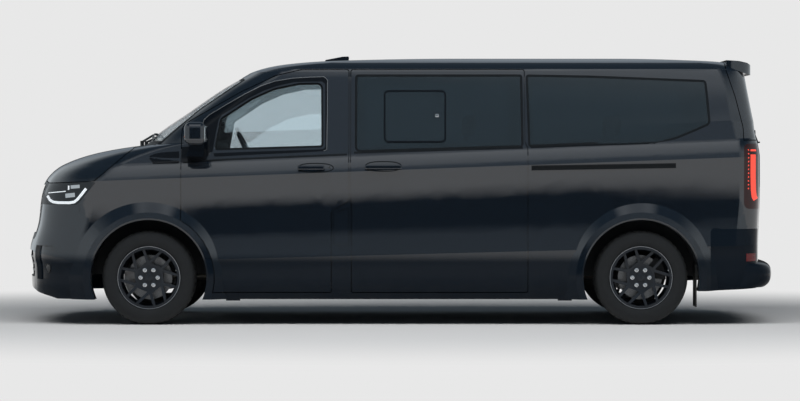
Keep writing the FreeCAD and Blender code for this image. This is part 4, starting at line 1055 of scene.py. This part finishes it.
@dataclass
class Wheels:
    """Tyres with tread, and each rim's nuts, cap, valve and bright lip."""

    middle: Point = (-1.780, -0.870, 0.335)
    wheelbase: float = 3.500
    segments: int = 120
    rubber: TyreRubber = TyreRubber("tyre", (0.011, 0.0125, 0.014), (0.018, 0.019, 0.020),
                                    roughness=0.62, specular=0.35, depth=0.0003)
    nut_circle: float = 0.061
    nut_radius: float = 0.0125
    nut_height: float = 0.018
    hub_face: float = -0.064
    tyre_half: Section = (
        (0.214, 0.086), (0.223, 0.0868), (0.2262, 0.093), (0.233, 0.0992), (0.236, 0.1018),
        (0.248, 0.1042), (0.25, 0.1052), (0.268, 0.1072), (0.286, 0.1074), (0.288, 0.1066),
        (0.302, 0.1052), (0.311, 0.1018), (0.32, 0.0955), (0.327, 0.0868), (0.331, 0.076),
        (0.3326, 0.066), (0.3336, 0.056), (0.328, 0.0552), (0.3262, 0.054), (0.3262, 0.046),
        (0.328, 0.0448), (0.3344, 0.044), (0.335, 0.019), (0.329, 0.0182), (0.327, 0.017),
        (0.327, 0.0095), (0.329, 0.0083), (0.335, 0.0075))
    tyre_inside: Section = ((0.23, -0.078), (0.3, -0.094), (0.316, -0.062), (0.316, 0.062),
                            (0.3, 0.094), (0.23, 0.078))
    sipe_rim: float = 0.0012
    sipes: tuple[tuple[float, float, int, int, float], ...] = (
        (0.056, 0.0955, 3, 0, 0.0045), (0.0195, 0.044, 4, 1, 0.0035),
        (-0.0075, 0.0075, 4, 3, 0.003))
    collar_section: Section = ((0.009, -0.004), (0.0148, -0.003), (0.0155, 0.0), (0.009, 0.001))
    cap_section: Section = (
        (0.0, -0.0735), (0.012, -0.0732), (0.022, -0.0718), (0.0275, -0.069), (0.0292, -0.0655),
        (0.0292, -0.0645), (0.0312, -0.064), (0.0312, -0.0632), (0.0292, -0.0632),
        (0.0285, -0.045), (0.0, -0.045))
    lip_section: Section = ((0.2196, -0.0948), (0.2204, -0.0958), (0.2222, -0.0961),
                            (0.2232, -0.0953), (0.2232, -0.0948))
    valve_section: Section = ((0.0, -0.036), (0.0032, -0.036), (0.0036, -0.030),
                              (0.0028, -0.028), (0.0028, -0.006), (0.005, 0.0), (0.0, 0.0))
    valve_offset: Point = (0.193, -0.070, 0.052)

    def tyre(self) -> Piece:
        """Spins the tyre's section and sinks its sipes.

        Returns:
            The front left tyre.
        """
        outer = [(radius, -across) for radius, across in self.tyre_half]
        profile = outer + list(reversed(self.tyre_half)) + list(reversed(self.tyre_inside))
        made = Bench.spun("tyre_tread_front_left", profile, self.middle, self.segments)
        Bench.edit(made)
        for low, high, every, start, depth in self.sipes:
            Bench.pick(made, lambda face: self.is_sipe(face, low, high, every, start))
            Bench.sink(self.sipe_rim, depth)
        Bench.clear()
        return made

    def is_sipe(self, face: Face, low: float, high: float, every: int, start: int) -> bool:
        """Tells whether a face of the tread is sunk.

        Args:
            face: a face of the tyre.
            low: the rib's inner edge, from the tyre's middle.
            high: its outer edge.
            every: one face in so many round the tyre.
            start: which of them.

        Returns:
            True for a sunk face.
        """
        middle = face.calc_center_median() - Vector(self.middle)
        radius = math.hypot(middle.x, middle.z)
        if radius < 0.3185 or not low < abs(middle.y) < high or abs(face.normal.y) > 0.92:
            return False
        step = int((math.atan2(middle.z, middle.x) / math.tau + 1.0) * self.segments + 0.01)
        return (step + (middle.y > 0)) % every == start

    def nuts(self) -> Piece:
        """Six hexagonal nuts with a collar each.

        Returns:
            The nuts of the front left wheel.
        """
        x, y, z = self.middle
        seat = (x + self.nut_circle, y + self.hub_face, z)
        Bench.clear()
        bpy.ops.mesh.primitive_cylinder_add(
            vertices=6, radius=self.nut_radius, depth=self.nut_height,
            location=(seat[0], seat[1] - self.nut_height / 2, z), rotation=(math.pi / 2, 0.0, 0.0))
        nut = bpy.context.object
        Bench.settle(nut)
        Bench.edit(nut)
        Bench.pick(nut, lambda face: face.normal.y < -0.9)
        Bench.press(0.003, (0.0, -0.002, 0.0))
        Bench.press(0.004, (0.0, 0.004, 0.0))
        Bench.clear()
        one = Bench.merge("nut", [nut, Bench.spun("collar", self.collar_section, seat, 20)])
        turned, centre = [one], Matrix.Translation(self.middle)
        for number in range(1, 6):
            turn = Matrix.Rotation(number * math.tau / 6, 4, "Y")
            place = centre @ turn @ Matrix.Translation(-Vector(self.middle))
            turned.append(Bench.copy(one, f"nut_{number}", place))
        return Bench.merge("wheel_nuts_front_left", turned)

    def lip(self) -> Piece:
        """Thin machined line on the rim's lip, with the valve beside it.

        Returns:
            Both for the front left wheel.
        """
        line = Bench.spun("lip", self.lip_section, self.middle, 128)
        at = tuple(Vector(self.middle) + Vector(self.valve_offset))
        valve = Bench.spun("valve", self.valve_section, at, 12)
        return Bench.merge("rim_lip_front_left", [line, valve])

    def build(self) -> None:
        """Makes one wheel's pieces and copies them to the other three."""
        parts = (("tyre_tread", self.tyre(), self.rubber, "tyre"),
                 ("wheel_nuts", self.nuts(), Palette.chrome, "disc_steel"),
                 ("hub_cap", Bench.spun("hub_cap_front_left", self.cap_section, self.middle, 48),
                  Palette.rim, "rim_black"),
                 ("rim_lip", self.lip(), Palette.lip, "rim_black"))
        back = Matrix.Translation((self.wheelbase, 0.0, 0.0))
        places = {"front_right": MIRROR_Y, "rear_left": back, "rear_right": back @ MIRROR_Y}
        for stem, first, finish, slot in parts:
            made = {"front_left": first}
            for corner, place in places.items():
                made[corner] = Bench.copy(first, f"{stem}_{corner}", place)
            for corner, piece in made.items():
                surface = finish
                if finish is self.rubber:
                    x = self.middle[0] + (self.wheelbase if "rear" in corner else 0.0)
                    axle = (x, 0.0, self.middle[2])
                    surface = replace(finish, name=f"tyre_{corner}", axle=axle)
                    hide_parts(f"tyre_{corner}")
                Bench.finish(piece, surface, f"wheel_{corner}", slot)


@dataclass
class Seals:
    """Rubber and painted borders round every pane."""

    door_width: float = 0.014
    side_width: float = 0.016
    screen_width: float = 0.030

    @staticmethod
    def ring(name: str, node: str, body: str, width: float, lift: float, out: Point) -> None:
        """A border along the edge of one glass node's outer skin.

        Args:
            name: the piece's name.
            node: the glass.
            body: the body it rides on.
            width: the border's width.
            lift: its thickness.
            out: the direction that the skin faces.
        """
        facing = Vector(out)
        made = Bench.skin(name, node, lambda face: face.normal.dot(facing) > 0.45)
        Bench.edit(made)
        bpy.ops.mesh.inset(thickness=width, depth=0.0, use_boundary=True, use_even_offset=False)
        bpy.ops.mesh.delete(type="FACE")
        Bench.clear()
        Bench.apply(made, "SOLIDIFY", thickness=lift, offset=1.0)
        Bench.finish(made, Palette.seal, body, "black_plastic", 50.0)

    def build(self) -> None:
        """Makes the borders of all panes."""
        for side in Side:
            out, word = (0.0, float(side.value), 0.2), side.word
            self.ring(f"door_glass_seal_{word}", f"front_door_glass_{word}", f"door_{word}",
                      self.door_width, 0.002, out)
            self.ring(f"side_glass_border_{word}", f"side_glass_{word}", "body",
                      self.side_width, 0.0012, out)
        for node, body, out in (("windscreen", "body", (-0.65, 0.0, 0.76)),
                                ("tailgate_glass", "tailgate", (1.0, 0.0, 0.15))):
            self.ring(f"{node}_border", node, body, self.screen_width, 0.0008, out)


class Trim:
    """Pieces that are laid on the left side and mirrored to the right."""

    @staticmethod
    def pair(made: Piece, name: str, finish: Finish, body: str, slot: str) -> None:
        """Finishes a left piece and its mirror.

        Args:
            made: the left piece.
            name: the pieces' name without the side.
            finish: their surface.
            body: the left one's body.
            slot: the material slot.
        """
        other = Bench.copy(made, f"{name}_right", MIRROR_Y)
        Bench.finish(made, finish, body, slot)
        Bench.finish(other, finish, body.replace("left", "right"), slot)

    @staticmethod
    def course(places: Iterable[Pixel], steps: int) -> list[Point]:
        """A path through places in the photo.

        Args:
            places: pixels of the photo.
            steps: even steps of each stretch.

        Returns:
            The path.
        """
        path, corners = [], list(places)
        for (ax, ay), (bx, by) in zip(corners, corners[1:]):
            path += [seen(ax + (bx - ax) * step / steps, ay + (by - ay) * step / steps)
                     for step in range(steps)]
        return path + [seen(*corners[-1])]

    @staticmethod
    def laid(name: str, path: list[Point], width: float, node: str, finish: Finish,
             body: str = "body", slot: str = "black_plastic", thickness: float = 0.002) -> None:
        """Lays a band on the left side and its mirror on the right.

        Args:
            name: the pieces' name without the side.
            path: the band's middle, outside the left side.
            width: its width.
            node: the node it lies on.
            finish: its surface.
            body: the left one's body.
            slot: the material slot.
            thickness: how thick it is.
        """
        made = Bench.band(f"{name}_left", path, width, node, Way.RIGHT, thickness, cuts=1)
        Trim.pair(made, name, finish, body, slot)


@dataclass
class SideTrim(Trim):
    """Belt line, slide rail, window inset, reflectors and other trim laid on the sides."""

    belt_width: float = 0.012
    rail_width: float = 0.034
    belt_stretches: tuple[tuple[str, str, str, tuple[Pixel, ...]], ...] = (
        ("fender", "fender_left", "body", ((152, 163.2), (178, 162.4))),
        ("door", "front_door_left", "door_left", ((182.5, 162.3), (227, 159.4), (347, 154.4))),
        ("slider", "sliding_door_left", "body", ((354, 152.6), (440, 149.9), (523, 147.7))),
        ("rear", "body_side_left", "body", ((531, 147.2), (593, 144.9), (656, 142.9))))
    frame_inner: tuple[Pixel, ...] = (
        (212, 151.5), (212.2, 150), (214.9, 134), (217.8, 119.5), (220.8, 114.6), (233.2, 106.8),
        (249.2, 97), (262.5, 90.2), (276.6, 85.3), (292.8, 81.6), (308, 81), (321.4, 80.8),
        (324.7, 83.4), (325, 115), (325.2, 147.2), (322.6, 149.3), (300, 150.2), (260, 151.4),
        (230, 152.5), (213, 153.3))
    frame_outer: tuple[Pixel, ...] = (
        (199, 157.2), (197, 150), (199.5, 133), (203, 119.5), (208.5, 114.5), (226.5, 103.6),
        (244.5, 93.3), (260, 85.5), (274, 80.6), (292, 77.6), (309, 76.6), (323.5, 76.2),
        (327, 79.5), (327, 115), (326.6, 149.5), (323.5, 151), (300, 152.4), (260, 154.2),
        (230, 155.8), (214, 156.6))
    fillets: tuple[tuple[str, str, str, tuple[Pixel, ...], tuple[Pixel, ...]], ...] = (
        ("mirror_fillet", "front_door_left", "door_left",
         ((181, 162.2), (190, 161.6), (199, 161.1), (206.5, 159)),
         ((181, 147), (190, 146.5), (199, 146.8), (208, 152))),
        ("pillar_fillet", "body_side_left", "body",
         ((148.6, 156.8), (153.5, 156.8), (160, 157.6), (170, 157.8), (178.4, 157.8)),
         ((149.4, 155.8), (153.5, 154), (160, 152.6), (170, 151.8), (178.4, 151.4))),
        ("fender_fillet", "fender_left", "body",
         ((148.6, 158.6), (152, 162.6), (160, 163), (170, 162.8), (178.4, 162.4)),
         ((149, 157.8), (153.5, 158), (160, 159.6), (170, 160), (178.4, 160))))
    handles: tuple[tuple[str, str, str, float, float, float, float], ...] = (
        ("front", "front_door_left", "door_left", 315.5, 167.8, 17.8, 4.4),
        ("sliding", "sliding_door_left", "body", 383.4, 166.4, 18.2, 4.9))
    key_pixel: Pixel = (329.5, 167.5)
    key_section: Section = ((0.0, -0.002), (0.008, -0.002), (0.0095, 0.0), (0.0, 0.0))

    @staticmethod
    def between(name: str, low: Iterable[Pixel], high: Iterable[Pixel], node: str, body: str,
                thickness: float) -> None:
        """Lays a black patch between two edges on the left side and its mirror on the right.

        Args:
            name: the pieces' name without the side.
            low: one edge, in pixels of the photo.
            high: as many points of the other edge.
            node: the node it lies on.
            body: the left one's body.
            thickness: its thickness.
        """
        first, second = ([Vector(seen(*place)) for place in edge] for edge in (low, high))
        made = Bench.patch(f"{name}_left", first, second)
        Bench.lay(made, node, Way.RIGHT, thickness, 0.0004, 5, 0.52)
        Trim.pair(made, name, Palette.gloss_black, body, "black_plastic")

    def door_frame(self) -> None:
        """The black frame round the front door's pane, and the fillets at the mirror's foot."""
        self.between("door_frame", self.frame_inner, self.frame_outer, "front_door_left",
                     "door_left", 0.0015)
        self.laid("door_frame_line", [seen(*place) for place in self.frame_outer[1:16]], 0.0045,
                  "front_door_left", Palette.strip, "door_left", thickness=0.0028)
        for name, node, body, low, high in self.fillets:
            self.between(name, low, high, node, body, 0.003)

    def handle_rings(self) -> None:
        """Painted shade: thin dark rubber rings that stand in for the shade at the rims of the cups
        behind the handles.
        """
        for word, node, body, px, py, reach, rise in self.handles:
            loop = []
            for turn in spread(0.0, math.tau / 40, 41):
                across = math.cos(turn)
                wide = math.copysign(abs(across) ** 0.7, across)
                loop.append(seen(px + reach * wide, py - rise * math.sin(turn)))
            loop.append(loop[1])
            # painted shade: a dark ring round each handle's cup
            self.laid(f"handle_ring_{word}", loop, 0.0065, node, Palette.seal, body,
                      thickness=0.0015)

    def slide_rail(self) -> None:
        """The track that the sliding door's rear arm runs in, with its channel."""
        made = Bench.band("slide_rail_left", self.course(((531.5, 168), (676, 165.6)), 30),
                          self.rail_width, "body_side_left", Way.RIGHT, 0.005)
        Bench.edit(made)
        Bench.pick(made, lambda face: face.normal.y < -0.7)
        Bench.sink(0.008, 0.0042)
        Bench.clear()
        self.pair(made, "slide_rail", Palette.seal, "body", "black_plastic")

    def window_inset(self) -> None:
        """Frame of the small pane that slides within the door's window, and its latch."""
        loop, bend = [], 4.0
        for px, py, start in ((441.2, 137.8, 0), (388.6, 137.8, 90), (388.6, 94.8, 180),
                              (441.2, 94.8, 270)):
            for angle in spread(start, 22.5, 5):
                turn = math.radians(angle)
                loop.append(seen(px + bend * math.cos(turn), py + bend * math.sin(turn), 0.1))
        self.laid("window_inset", self.dense(loop + loop[:2], 0.03), 0.011, "side_glass_left",
                  Palette.gloss_black, thickness=0.0035)
        latch = Bench.box("window_latch_left", (0.258, -1.3, 1.478), (0.282, -1.294, 1.5), 0.002, 3)
        point, _ = Bench.touch("side_glass_left", 0.27, 1.489)
        latch.data.transform(Matrix.Translation((0.0, point.y + 1.293, 0.0)))
        self.pair(latch, "window_latch", Palette.chrome, "body", "black_plastic")

    @staticmethod
    def dense(path: list[Point], step: float) -> list[Point]:
        """Divides a path's long stretches.

        Args:
            path: the path.
            step: about how far apart its points end up.

        Returns:
            The path with more points.
        """
        made = []
        for first, second in zip(path, path[1:]):
            start, run = Vector(first), Vector(second) - Vector(first)
            count = max(1, round(run.length / step))
            made += [tuple(start + run * (number / count)) for number in range(count)]
        return made + [path[-1]]

    def build(self) -> None:
        """Makes all the side trim."""
        self.door_frame()
        self.handle_rings()
        for word, node, body, places in self.belt_stretches:
            self.laid(f"belt_line_{word}", self.course(places, 14), self.belt_width, node,
                      Palette.seal, body)
        self.slide_rail()
        self.window_inset()
        self.laid("rear_reflector", self.course(((747, 257.6), (757.5, 257.6)), 6), 0.055,
                  "rear_bumper", Palette.reflector, slot="tail_lens", thickness=0.003)
        x, _, z = seen(*self.key_pixel)
        point, _ = Bench.touch("front_door_left", x, z)
        key = Bench.spun("door_lock_left", self.key_section, (x, point.y, z), 20)
        self.pair(key, "door_lock", Palette.chrome, "door_left", "paint")


@dataclass
class Lights(Trim):
    """What shows on the lamps: bars, dots, lens blocks, fog lamps and the high brake light."""

    head_bars: tuple[tuple[str, tuple[Pixel, ...], float, Finish, int], ...] = (
        ("hook", ((43.2, 196.2), (46.5, 200.4), (50.8, 202.4), (57, 202.9), (68, 202.9),
                  (73.2, 202.2), (76.6, 199.6), (80.5, 195), (85.6, 188.6)),
         0.019, Palette.white, 3),
        ("blade", ((44.5, 193.3), (64.2, 191.4)), 0.006, Palette.white, 8),
        ("post", ((67.3, 185.8), (67.3, 190)), 0.010, Palette.white, 3),
        ("lens_high", ((69.5, 187.2), (79, 186.4)), 0.024, Palette.chrome, 8),
        ("lens_low", ((64, 196), (74, 194.9)), 0.030, Palette.chrome, 8))
    tail_bars: tuple[tuple[str, tuple[Pixel, ...], float, Finish, int], ...] = (
        ("bar", ((754, 154.5), (754.1, 175), (754.5, 190), (755.4, 196.5), (757.2, 199.6)),
         0.040, Palette.red, 4),
        ("cap", ((751.4, 150.3), (757.4, 150.3)), 0.013, Palette.red, 3))
    dot_section: Section = ((0.0, -0.0016), (0.0045, -0.0012), (0.0058, 0.0), (0.0, 0.001))
    fog_pixel: Pixel = (45, 269)
    fog_radius: float = 0.026

    def bars(self) -> None:
        """The headlamps' hook, blade and lens blocks, and the tail lamps' bars."""
        for stem, node, slot, bars in (("headlamp", "headlamps", "lamp_lens", self.head_bars),
                                       ("tail", "tail_lamps", "tail_lens", self.tail_bars)):
            for word, places, width, finish, steps in bars:
                self.laid(f"{stem}_{word}", self.course(places, steps), width, node, finish,
                          slot=slot, thickness=0.0012)

    def dots(self) -> None:
        """Eleven glowing dots beside the tail lamp's bar."""
        dots = []
        for py in spread(150.0, 3.86, 11):
            x, _, z = seen(749.0, py)
            point, _ = Bench.touch("tail_lamps", x, z)
            dots.append(Bench.spun("dot", self.dot_section, tuple(point), 12))
        made = Bench.merge("tail_dots_left", dots)
        self.pair(made, "tail_dots", Palette.red, "body", "tail_lens")

    def fog_lamps(self) -> None:
        """A small round lamp with a bezel on each side of the front bumper."""
        x, _, z = seen(*self.fog_pixel)
        point, normal = Bench.touch("front_bumper", x, z)
        radius = self.fog_radius
        bezel = [(radius, 0.001), (radius + 0.002, 0.004), (radius + 0.007, 0.0045),
                 (radius + 0.010, -0.001), (radius, -0.002)]
        lens = [(0.0, 0.003), (radius * 0.6, 0.0026), (radius, 0.0012), (radius, -0.001),
                (0.0, -0.001)]
        for name, section, finish in (("fog_lamp_bezel", bezel, Palette.plastic),
                                      ("fog_lamp", lens, Palette.lens)):
            made = Bench.spun(f"{name}_left", section, tuple(point), 32, tuple(normal))
            self.pair(made, name, finish, "body", finish.name)

    def build(self) -> None:
        """Makes all lamps' details."""
        self.bars()
        self.dots()
        self.fog_lamps()
        path = [(3.2, y, 1.842) for y in spread(-0.16, 0.02, 17)]
        made = Bench.band("high_brake_light", path, 0.014, "tailgate", Way.FRONT, 0.0025)
        Bench.finish(made, Palette.tail_lens, "tailgate", "tail_lens")


@dataclass
class Mirrors:
    """Mirror glass and turn lamp on each outside mirror."""

    rim: float = 0.012
    glass_lift: float = 0.0015
    lamp_height: float = 1.334

    def build(self) -> None:
        """Makes the glass on the housings' rear faces and the lamps on the front ones."""
        for side in Side:
            node, body = f"mirror_{side.word}", f"door_{side.word}"
            made = Bench.skin(f"mirror_glass_{side.word}", node, self.faces_back)
            Bench.edit(made)
            bpy.ops.mesh.inset(thickness=self.rim, use_boundary=True)
            bpy.ops.mesh.select_all(action="INVERT")
            bpy.ops.mesh.delete(type="FACE")
            Bench.clear()
            Bench.apply(made, "SOLIDIFY", thickness=self.glass_lift, offset=1.0)
            Bench.finish(made, Palette.mirror, body, "clear_glass")
            path = [(-1.9, side.value * y, self.lamp_height) for y in spread(1.01, 0.01, 11)]
            lamp = Bench.band(f"mirror_lamp_{side.word}", path, 0.010, node, Way.REAR, 0.002)
            Bench.finish(lamp, Palette.amber, body, "lamp_lens")

    @staticmethod
    def faces_back(face: Face) -> bool:
        """Whether a face of the housing is part of the glass's bed."""
        middle = face.calc_center_median()
        return face.normal.x > 0.75 and middle.z > 1.205 and abs(middle.y) > 0.975


@dataclass
class SeatMaker:
    """One seat's pads, shaped once by cloth pressure, and its frame."""

    width: float = 0.470
    voxel: float = 0.011
    cap: float = 0.014
    frames: int = 20
    rounding: float = 0.034
    back_at: Point = (0.196, 0.0, 0.738)
    back_lean: float = 11.3
    head_at: Point = (0.348, 0.0, 1.348)
    head_lean: float = 7.0

    def puffed(self, pad: Piece) -> Piece:
        """Swells a pad by cloth pressure, each point held within a cap.

        Args:
            pad: the pad's slack shape.

        Returns:
            The same pad.
        """
        Bench.apply(pad, "REMESH", mode="VOXEL", voxel_size=self.voxel)
        rest = [vertex.co.copy() for vertex in pad.data.vertices]
        Bench.take(pad)
        cloth = pad.modifiers.new("cloth", "CLOTH")
        cloth.settings.quality = 4
        cloth.settings.use_pressure = True
        cloth.settings.uniform_pressure_force = 4.0
        cloth.settings.effector_weights.gravity = 0.0
        cloth.point_cache.frame_end = self.frames
        scene = bpy.context.scene
        for frame_number in range(1, self.frames + 1):
            scene.frame_set(frame_number)
        bpy.ops.object.modifier_apply(modifier="cloth")
        scene.frame_set(1)
        for vertex, start in zip(pad.data.vertices, rest):
            move = vertex.co - start
            if move.length > self.cap:
                vertex.co = start + move.normalized() * self.cap
        return pad

    @staticmethod
    def lean(pad: Piece, at: Point, degrees: float) -> None:
        """Turns a pad back about its lower edge and puts it in place."""
        turn = Matrix.Rotation(math.radians(degrees), 4, "Y")
        pad.data.transform(Matrix.Translation(at) @ turn)

    def cushion(self) -> Piece:
        """The seat cushion with side bolsters, at the origin of its seat.

        Returns:
            The cushion.
        """
        half = self.width / 2 - 0.014
        made = Bench.box("pad_cushion", (-0.246, -half, 0.699), (0.228, half, 0.796), self.rounding)
        Bench.edit(made)
        Bench.pick(made, lambda face: face.normal.z > 0.99)
        Bench.press(0.060, (0.0, 0.0, -0.014))
        Bench.clear()
        return self.puffed(made)

    def back(self) -> Piece:
        """The backrest, leaning as its solid does, with a hollow for the back.

        Returns:
            The backrest.
        """
        half = self.width / 2 - 0.024
        made = Bench.box("pad_back", (0.0, -half, 0.0), (0.090, half, 0.592), self.rounding)
        Bench.edit(made)
        Bench.pick(made, lambda face: face.normal.x < -0.99)
        Bench.press(0.062, (0.014, 0.0, 0.0))
        Bench.clear()
        self.lean(made, self.back_at, self.back_lean)
        return self.puffed(made)

    def head(self) -> Piece:
        """The headrest, leaning as its solid does.

        Returns:
            The headrest.
        """
        made = Bench.box("pad_head", (0.0, -0.118, 0.0), (0.070, 0.118, 0.158), 0.030)
        self.lean(made, self.head_at, self.head_lean)
        return self.puffed(made)

    @staticmethod
    def seams(cushion: Piece, back: Piece) -> Piece:
        """Stitched seams that lie on the swollen pads.

        Args:
            cushion: the cushion.
            back: the backrest.

        Returns:
            All seams of a seat.
        """
        lines = []
        for y in (-0.150, 0.150):
            lines += [(cushion, Way.DOWN, [(x, y, 1.1) for x in spread(-0.200, 0.02, 18)]),
                      (back, Way.REAR, [(-0.6, y, z) for z in spread(0.84, 0.024, 19)])]
        crossing = spread(-0.140, 0.02, 15)
        lines += [(back, Way.REAR, [(-0.6, y, z) for y in crossing]) for z in (0.96, 1.12)]
        lines.append((cushion, Way.DOWN, [(-0.06, y, 1.1) for y in crossing]))
        return Bench.merge("pad_seams", [Bench.band("seam", path, 0.005, pad, way, 0.0018, -0.0006)
                                         for pad, way, path in lines])

    def stand(self) -> Piece:
        """The box under the cushion, the hinge covers, headrest posts and belt buckle.

        Returns:
            All of them as one piece.
        """
        half = self.width / 2 - 0.060
        box = Bench.box("stand", (-0.200, -half, 0.5405), (0.200, half, 0.692), 0.018, 3)
        Bench.edit(box)
        Bench.pick(box, lambda face: abs(face.normal.y) > 0.99 or abs(face.normal.x) > 0.99)
        Bench.sink(0.016, 0.004, True)
        Bench.clear()
        post = ((0.0, 0.0), (0.0065, 0.0), (0.0065, 0.060), (0.0, 0.060))
        parts = [box]
        for y in (-0.055, 0.055):
            parts.append(Bench.spun("post", post, (0.372, y, 1.310), 12, (0.12, 0.0, 1.0)))
        for y in (-self.width / 2 + 0.004, self.width / 2 - 0.022):
            parts.append(Bench.box("cover", (0.150, y, 0.700), (0.232, y + 0.018, 0.790), 0.008, 2))
        parts.append(Bench.box("stalk", (0.120, 0.196, 0.780), (0.140, 0.204, 0.862), 0.003, 2))
        parts.append(Bench.box("buckle", (0.114, 0.188, 0.852), (0.148, 0.211, 0.905), 0.006, 2))
        return Bench.merge("pad_stand", parts)

    def masters(self) -> dict[str, Piece]:
        """Makes one seat's pieces."""
        cushion, back = self.cushion(), self.back()
        return {"cushion": cushion, "backrest": back, "headrest": self.head(),
                "seams": self.seams(cushion, back), "stand": self.stand()}


@dataclass
class Seats:
    """Eight seats in three rows."""

    rows: tuple[tuple[str, str, float, float, tuple[tuple[str, float], ...]], ...] = (
        ("front", "front_seats", -0.790, 1.0, (("left", -0.440), ("right", 0.440))),
        ("second", "rear_seats", 0.120, 1.0,
         (("left", -0.520), ("middle", -0.010), ("right", 0.500))),
        ("third", "rear_seats", 1.180, 0.396 / 0.470,
         (("left", -0.404), ("middle", 0.0), ("right", 0.404))))

    def build(self) -> None:
        masters = SeatMaker().masters()
        finishes = {"seams": Palette.thread, "stand": Palette.cabin}
        for row, node, x, narrow, places in self.rows:
            for word, y in places:
                place = Matrix.Translation((x, y, 0.0)) @ Matrix.Scale(narrow, 4, (0.0, 1.0, 0.0))
                for part, master in masters.items():
                    made = Bench.copy(master, f"seat_{part}_{row}_{word}", place)
                    slot = "cabin_plastic" if part == "stand" else "seat_fabric"
                    Bench.finish(made, finishes.get(part, Palette.cloth), "body", slot)
                    part not in finishes
                    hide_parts(node)
        for master in masters.values():
            bpy.data.objects.remove(master)


@dataclass
class Cabin:
    """Linings and controls that show through the glass."""

    thickness: float = 0.003
    screens: tuple[tuple[str, Pixel, Pixel, Finish, float], ...] = (
        ("instrument_screen", (-0.555, 1.163), (-0.245, 1.214), Palette.screen, 0.002),
        ("centre_screen", (-0.145, 1.030), (0.145, 1.150), Palette.screen, 0.004),
        ("glove_box_lid", (0.260, 0.880), (0.680, 1.030), Palette.cabin, 0.003))
    vents: tuple[Point, ...] = ((-0.740, 1.078, 0.100), (-0.194, 0.993, 0.040),
                                (0.155, 0.993, 0.040), (0.640, 1.078, 0.100))
    wheel_at: Point = (-1.085, -0.400, 1.195)
    wheel_lean: float = math.radians(27)
    pad_section: Section = ((0.0, 0.022), (0.040, 0.020), (0.066, 0.014), (0.074, 0.006),
                            (0.072, 0.0), (0.0, 0.0))

    def lining(self, name: str, node: str, test: Callable[[Face], bool], finish: Finish,
               body: str = "body") -> None:
        """Covers some inner faces of a CAD node with a thin lining.

        Args:
            name: the piece's name.
            node: the node.
            test: what a face has to pass to be lined.
            finish: the lining's surface.
            body: the body it rides on.
        """
        made = Bench.skin(name, node, test)
        Bench.apply(made, "SOLIDIFY", thickness=self.thickness, offset=1.0)
        Bench.finish(made, finish, body, "cabin_plastic")

    @staticmethod
    def inner(inward: int) -> Callable[[Face], bool]:
        """A test for the faces of a door that face the cabin."""
        return lambda face: (face.normal.y * inward > 0.7
                             and 0.56 < face.calc_center_median().z < 1.20)

    @staticmethod
    def on_floor(face: Face) -> bool:
        """Whether a face is the cabin's floor."""
        middle = face.calc_center_median()
        return face.normal.z > 0.95 and abs(middle.y) < 0.9 and middle.z > 0.5

    @staticmethod
    def overhead(face: Face) -> bool:
        """Whether a face is the underside of the roof."""
        return face.normal.z < -0.5 and face.calc_center_median().z > 1.7

    def linings(self) -> None:
        """Headliner, door cards and floor mat."""
        self.lining("headliner", "roof", self.overhead, Palette.headliner)
        for side in Side:
            word, test = side.word, self.inner(-side.value)
            self.lining(f"door_card_{word}", f"front_door_{word}", test, Palette.cabin,
                        f"door_{word}")
            self.lining(f"sliding_door_card_{word}", f"sliding_door_{word}", test, Palette.cabin)
        self.lining("floor_mat", "floor_pan", self.on_floor, Palette.carpet)

    @staticmethod
    def panel(name: str, low: Pixel, high: Pixel, finish: Finish, thickness: float) -> None:
        """Lays a panel on the dashboard's face towards the cabin.

        Args:
            name: the piece's name.
            low: its lower left corner in Y and Z.
            high: its upper right corner.
            finish: its surface.
            thickness: its thickness.
        """
        wide, middle = high[0] - low[0], (low[1] + high[1]) / 2
        steps = max(2, round(wide / 0.02))
        path = [(-0.6, low[0] + wide * step / steps, middle) for step in range(steps + 1)]
        made = Bench.band(name, path, high[1] - low[1], "dashboard", Way.FRONT, thickness, cuts=2)
        Bench.finish(made, finish, "body", "cabin_plastic")

    def controls(self) -> None:
        """Screens, vents, glove box lid, and the steering wheel's pad."""
        for screen in self.screens:
            self.panel(*screen)
        for number, (y, low, wide) in enumerate(self.vents):
            for row, z in enumerate(spread(low, 0.016, 4)):
                high = (y + wide, z + 0.008)
                self.panel(f"vent_{number}_{row}", (y, z), high, Palette.seal, 0.003)
        axis = (math.cos(self.wheel_lean), 0.0, math.sin(self.wheel_lean))
        pad = Bench.spun("steering_pad", self.pad_section, self.wheel_at, 48, axis)
        Bench.finish(pad, Palette.cabin, "steering_wheel", "cabin_plastic")

    def build(self) -> None:
        """Makes the linings and controls."""
        self.linings()
        self.controls()


def main() -> None:
    """Builds the scene in order."""
    logging.basicConfig(level=logging.INFO, format="%(message)s")
    Studio().build()
    CadDress().dress()
    Wheels().build()
    Seals().build()
    SideTrim().build()
    Lights().build()
    Mirrors().build()
    Cabin().build()
    Seats().build()


if __name__ == "__main__":
    main()
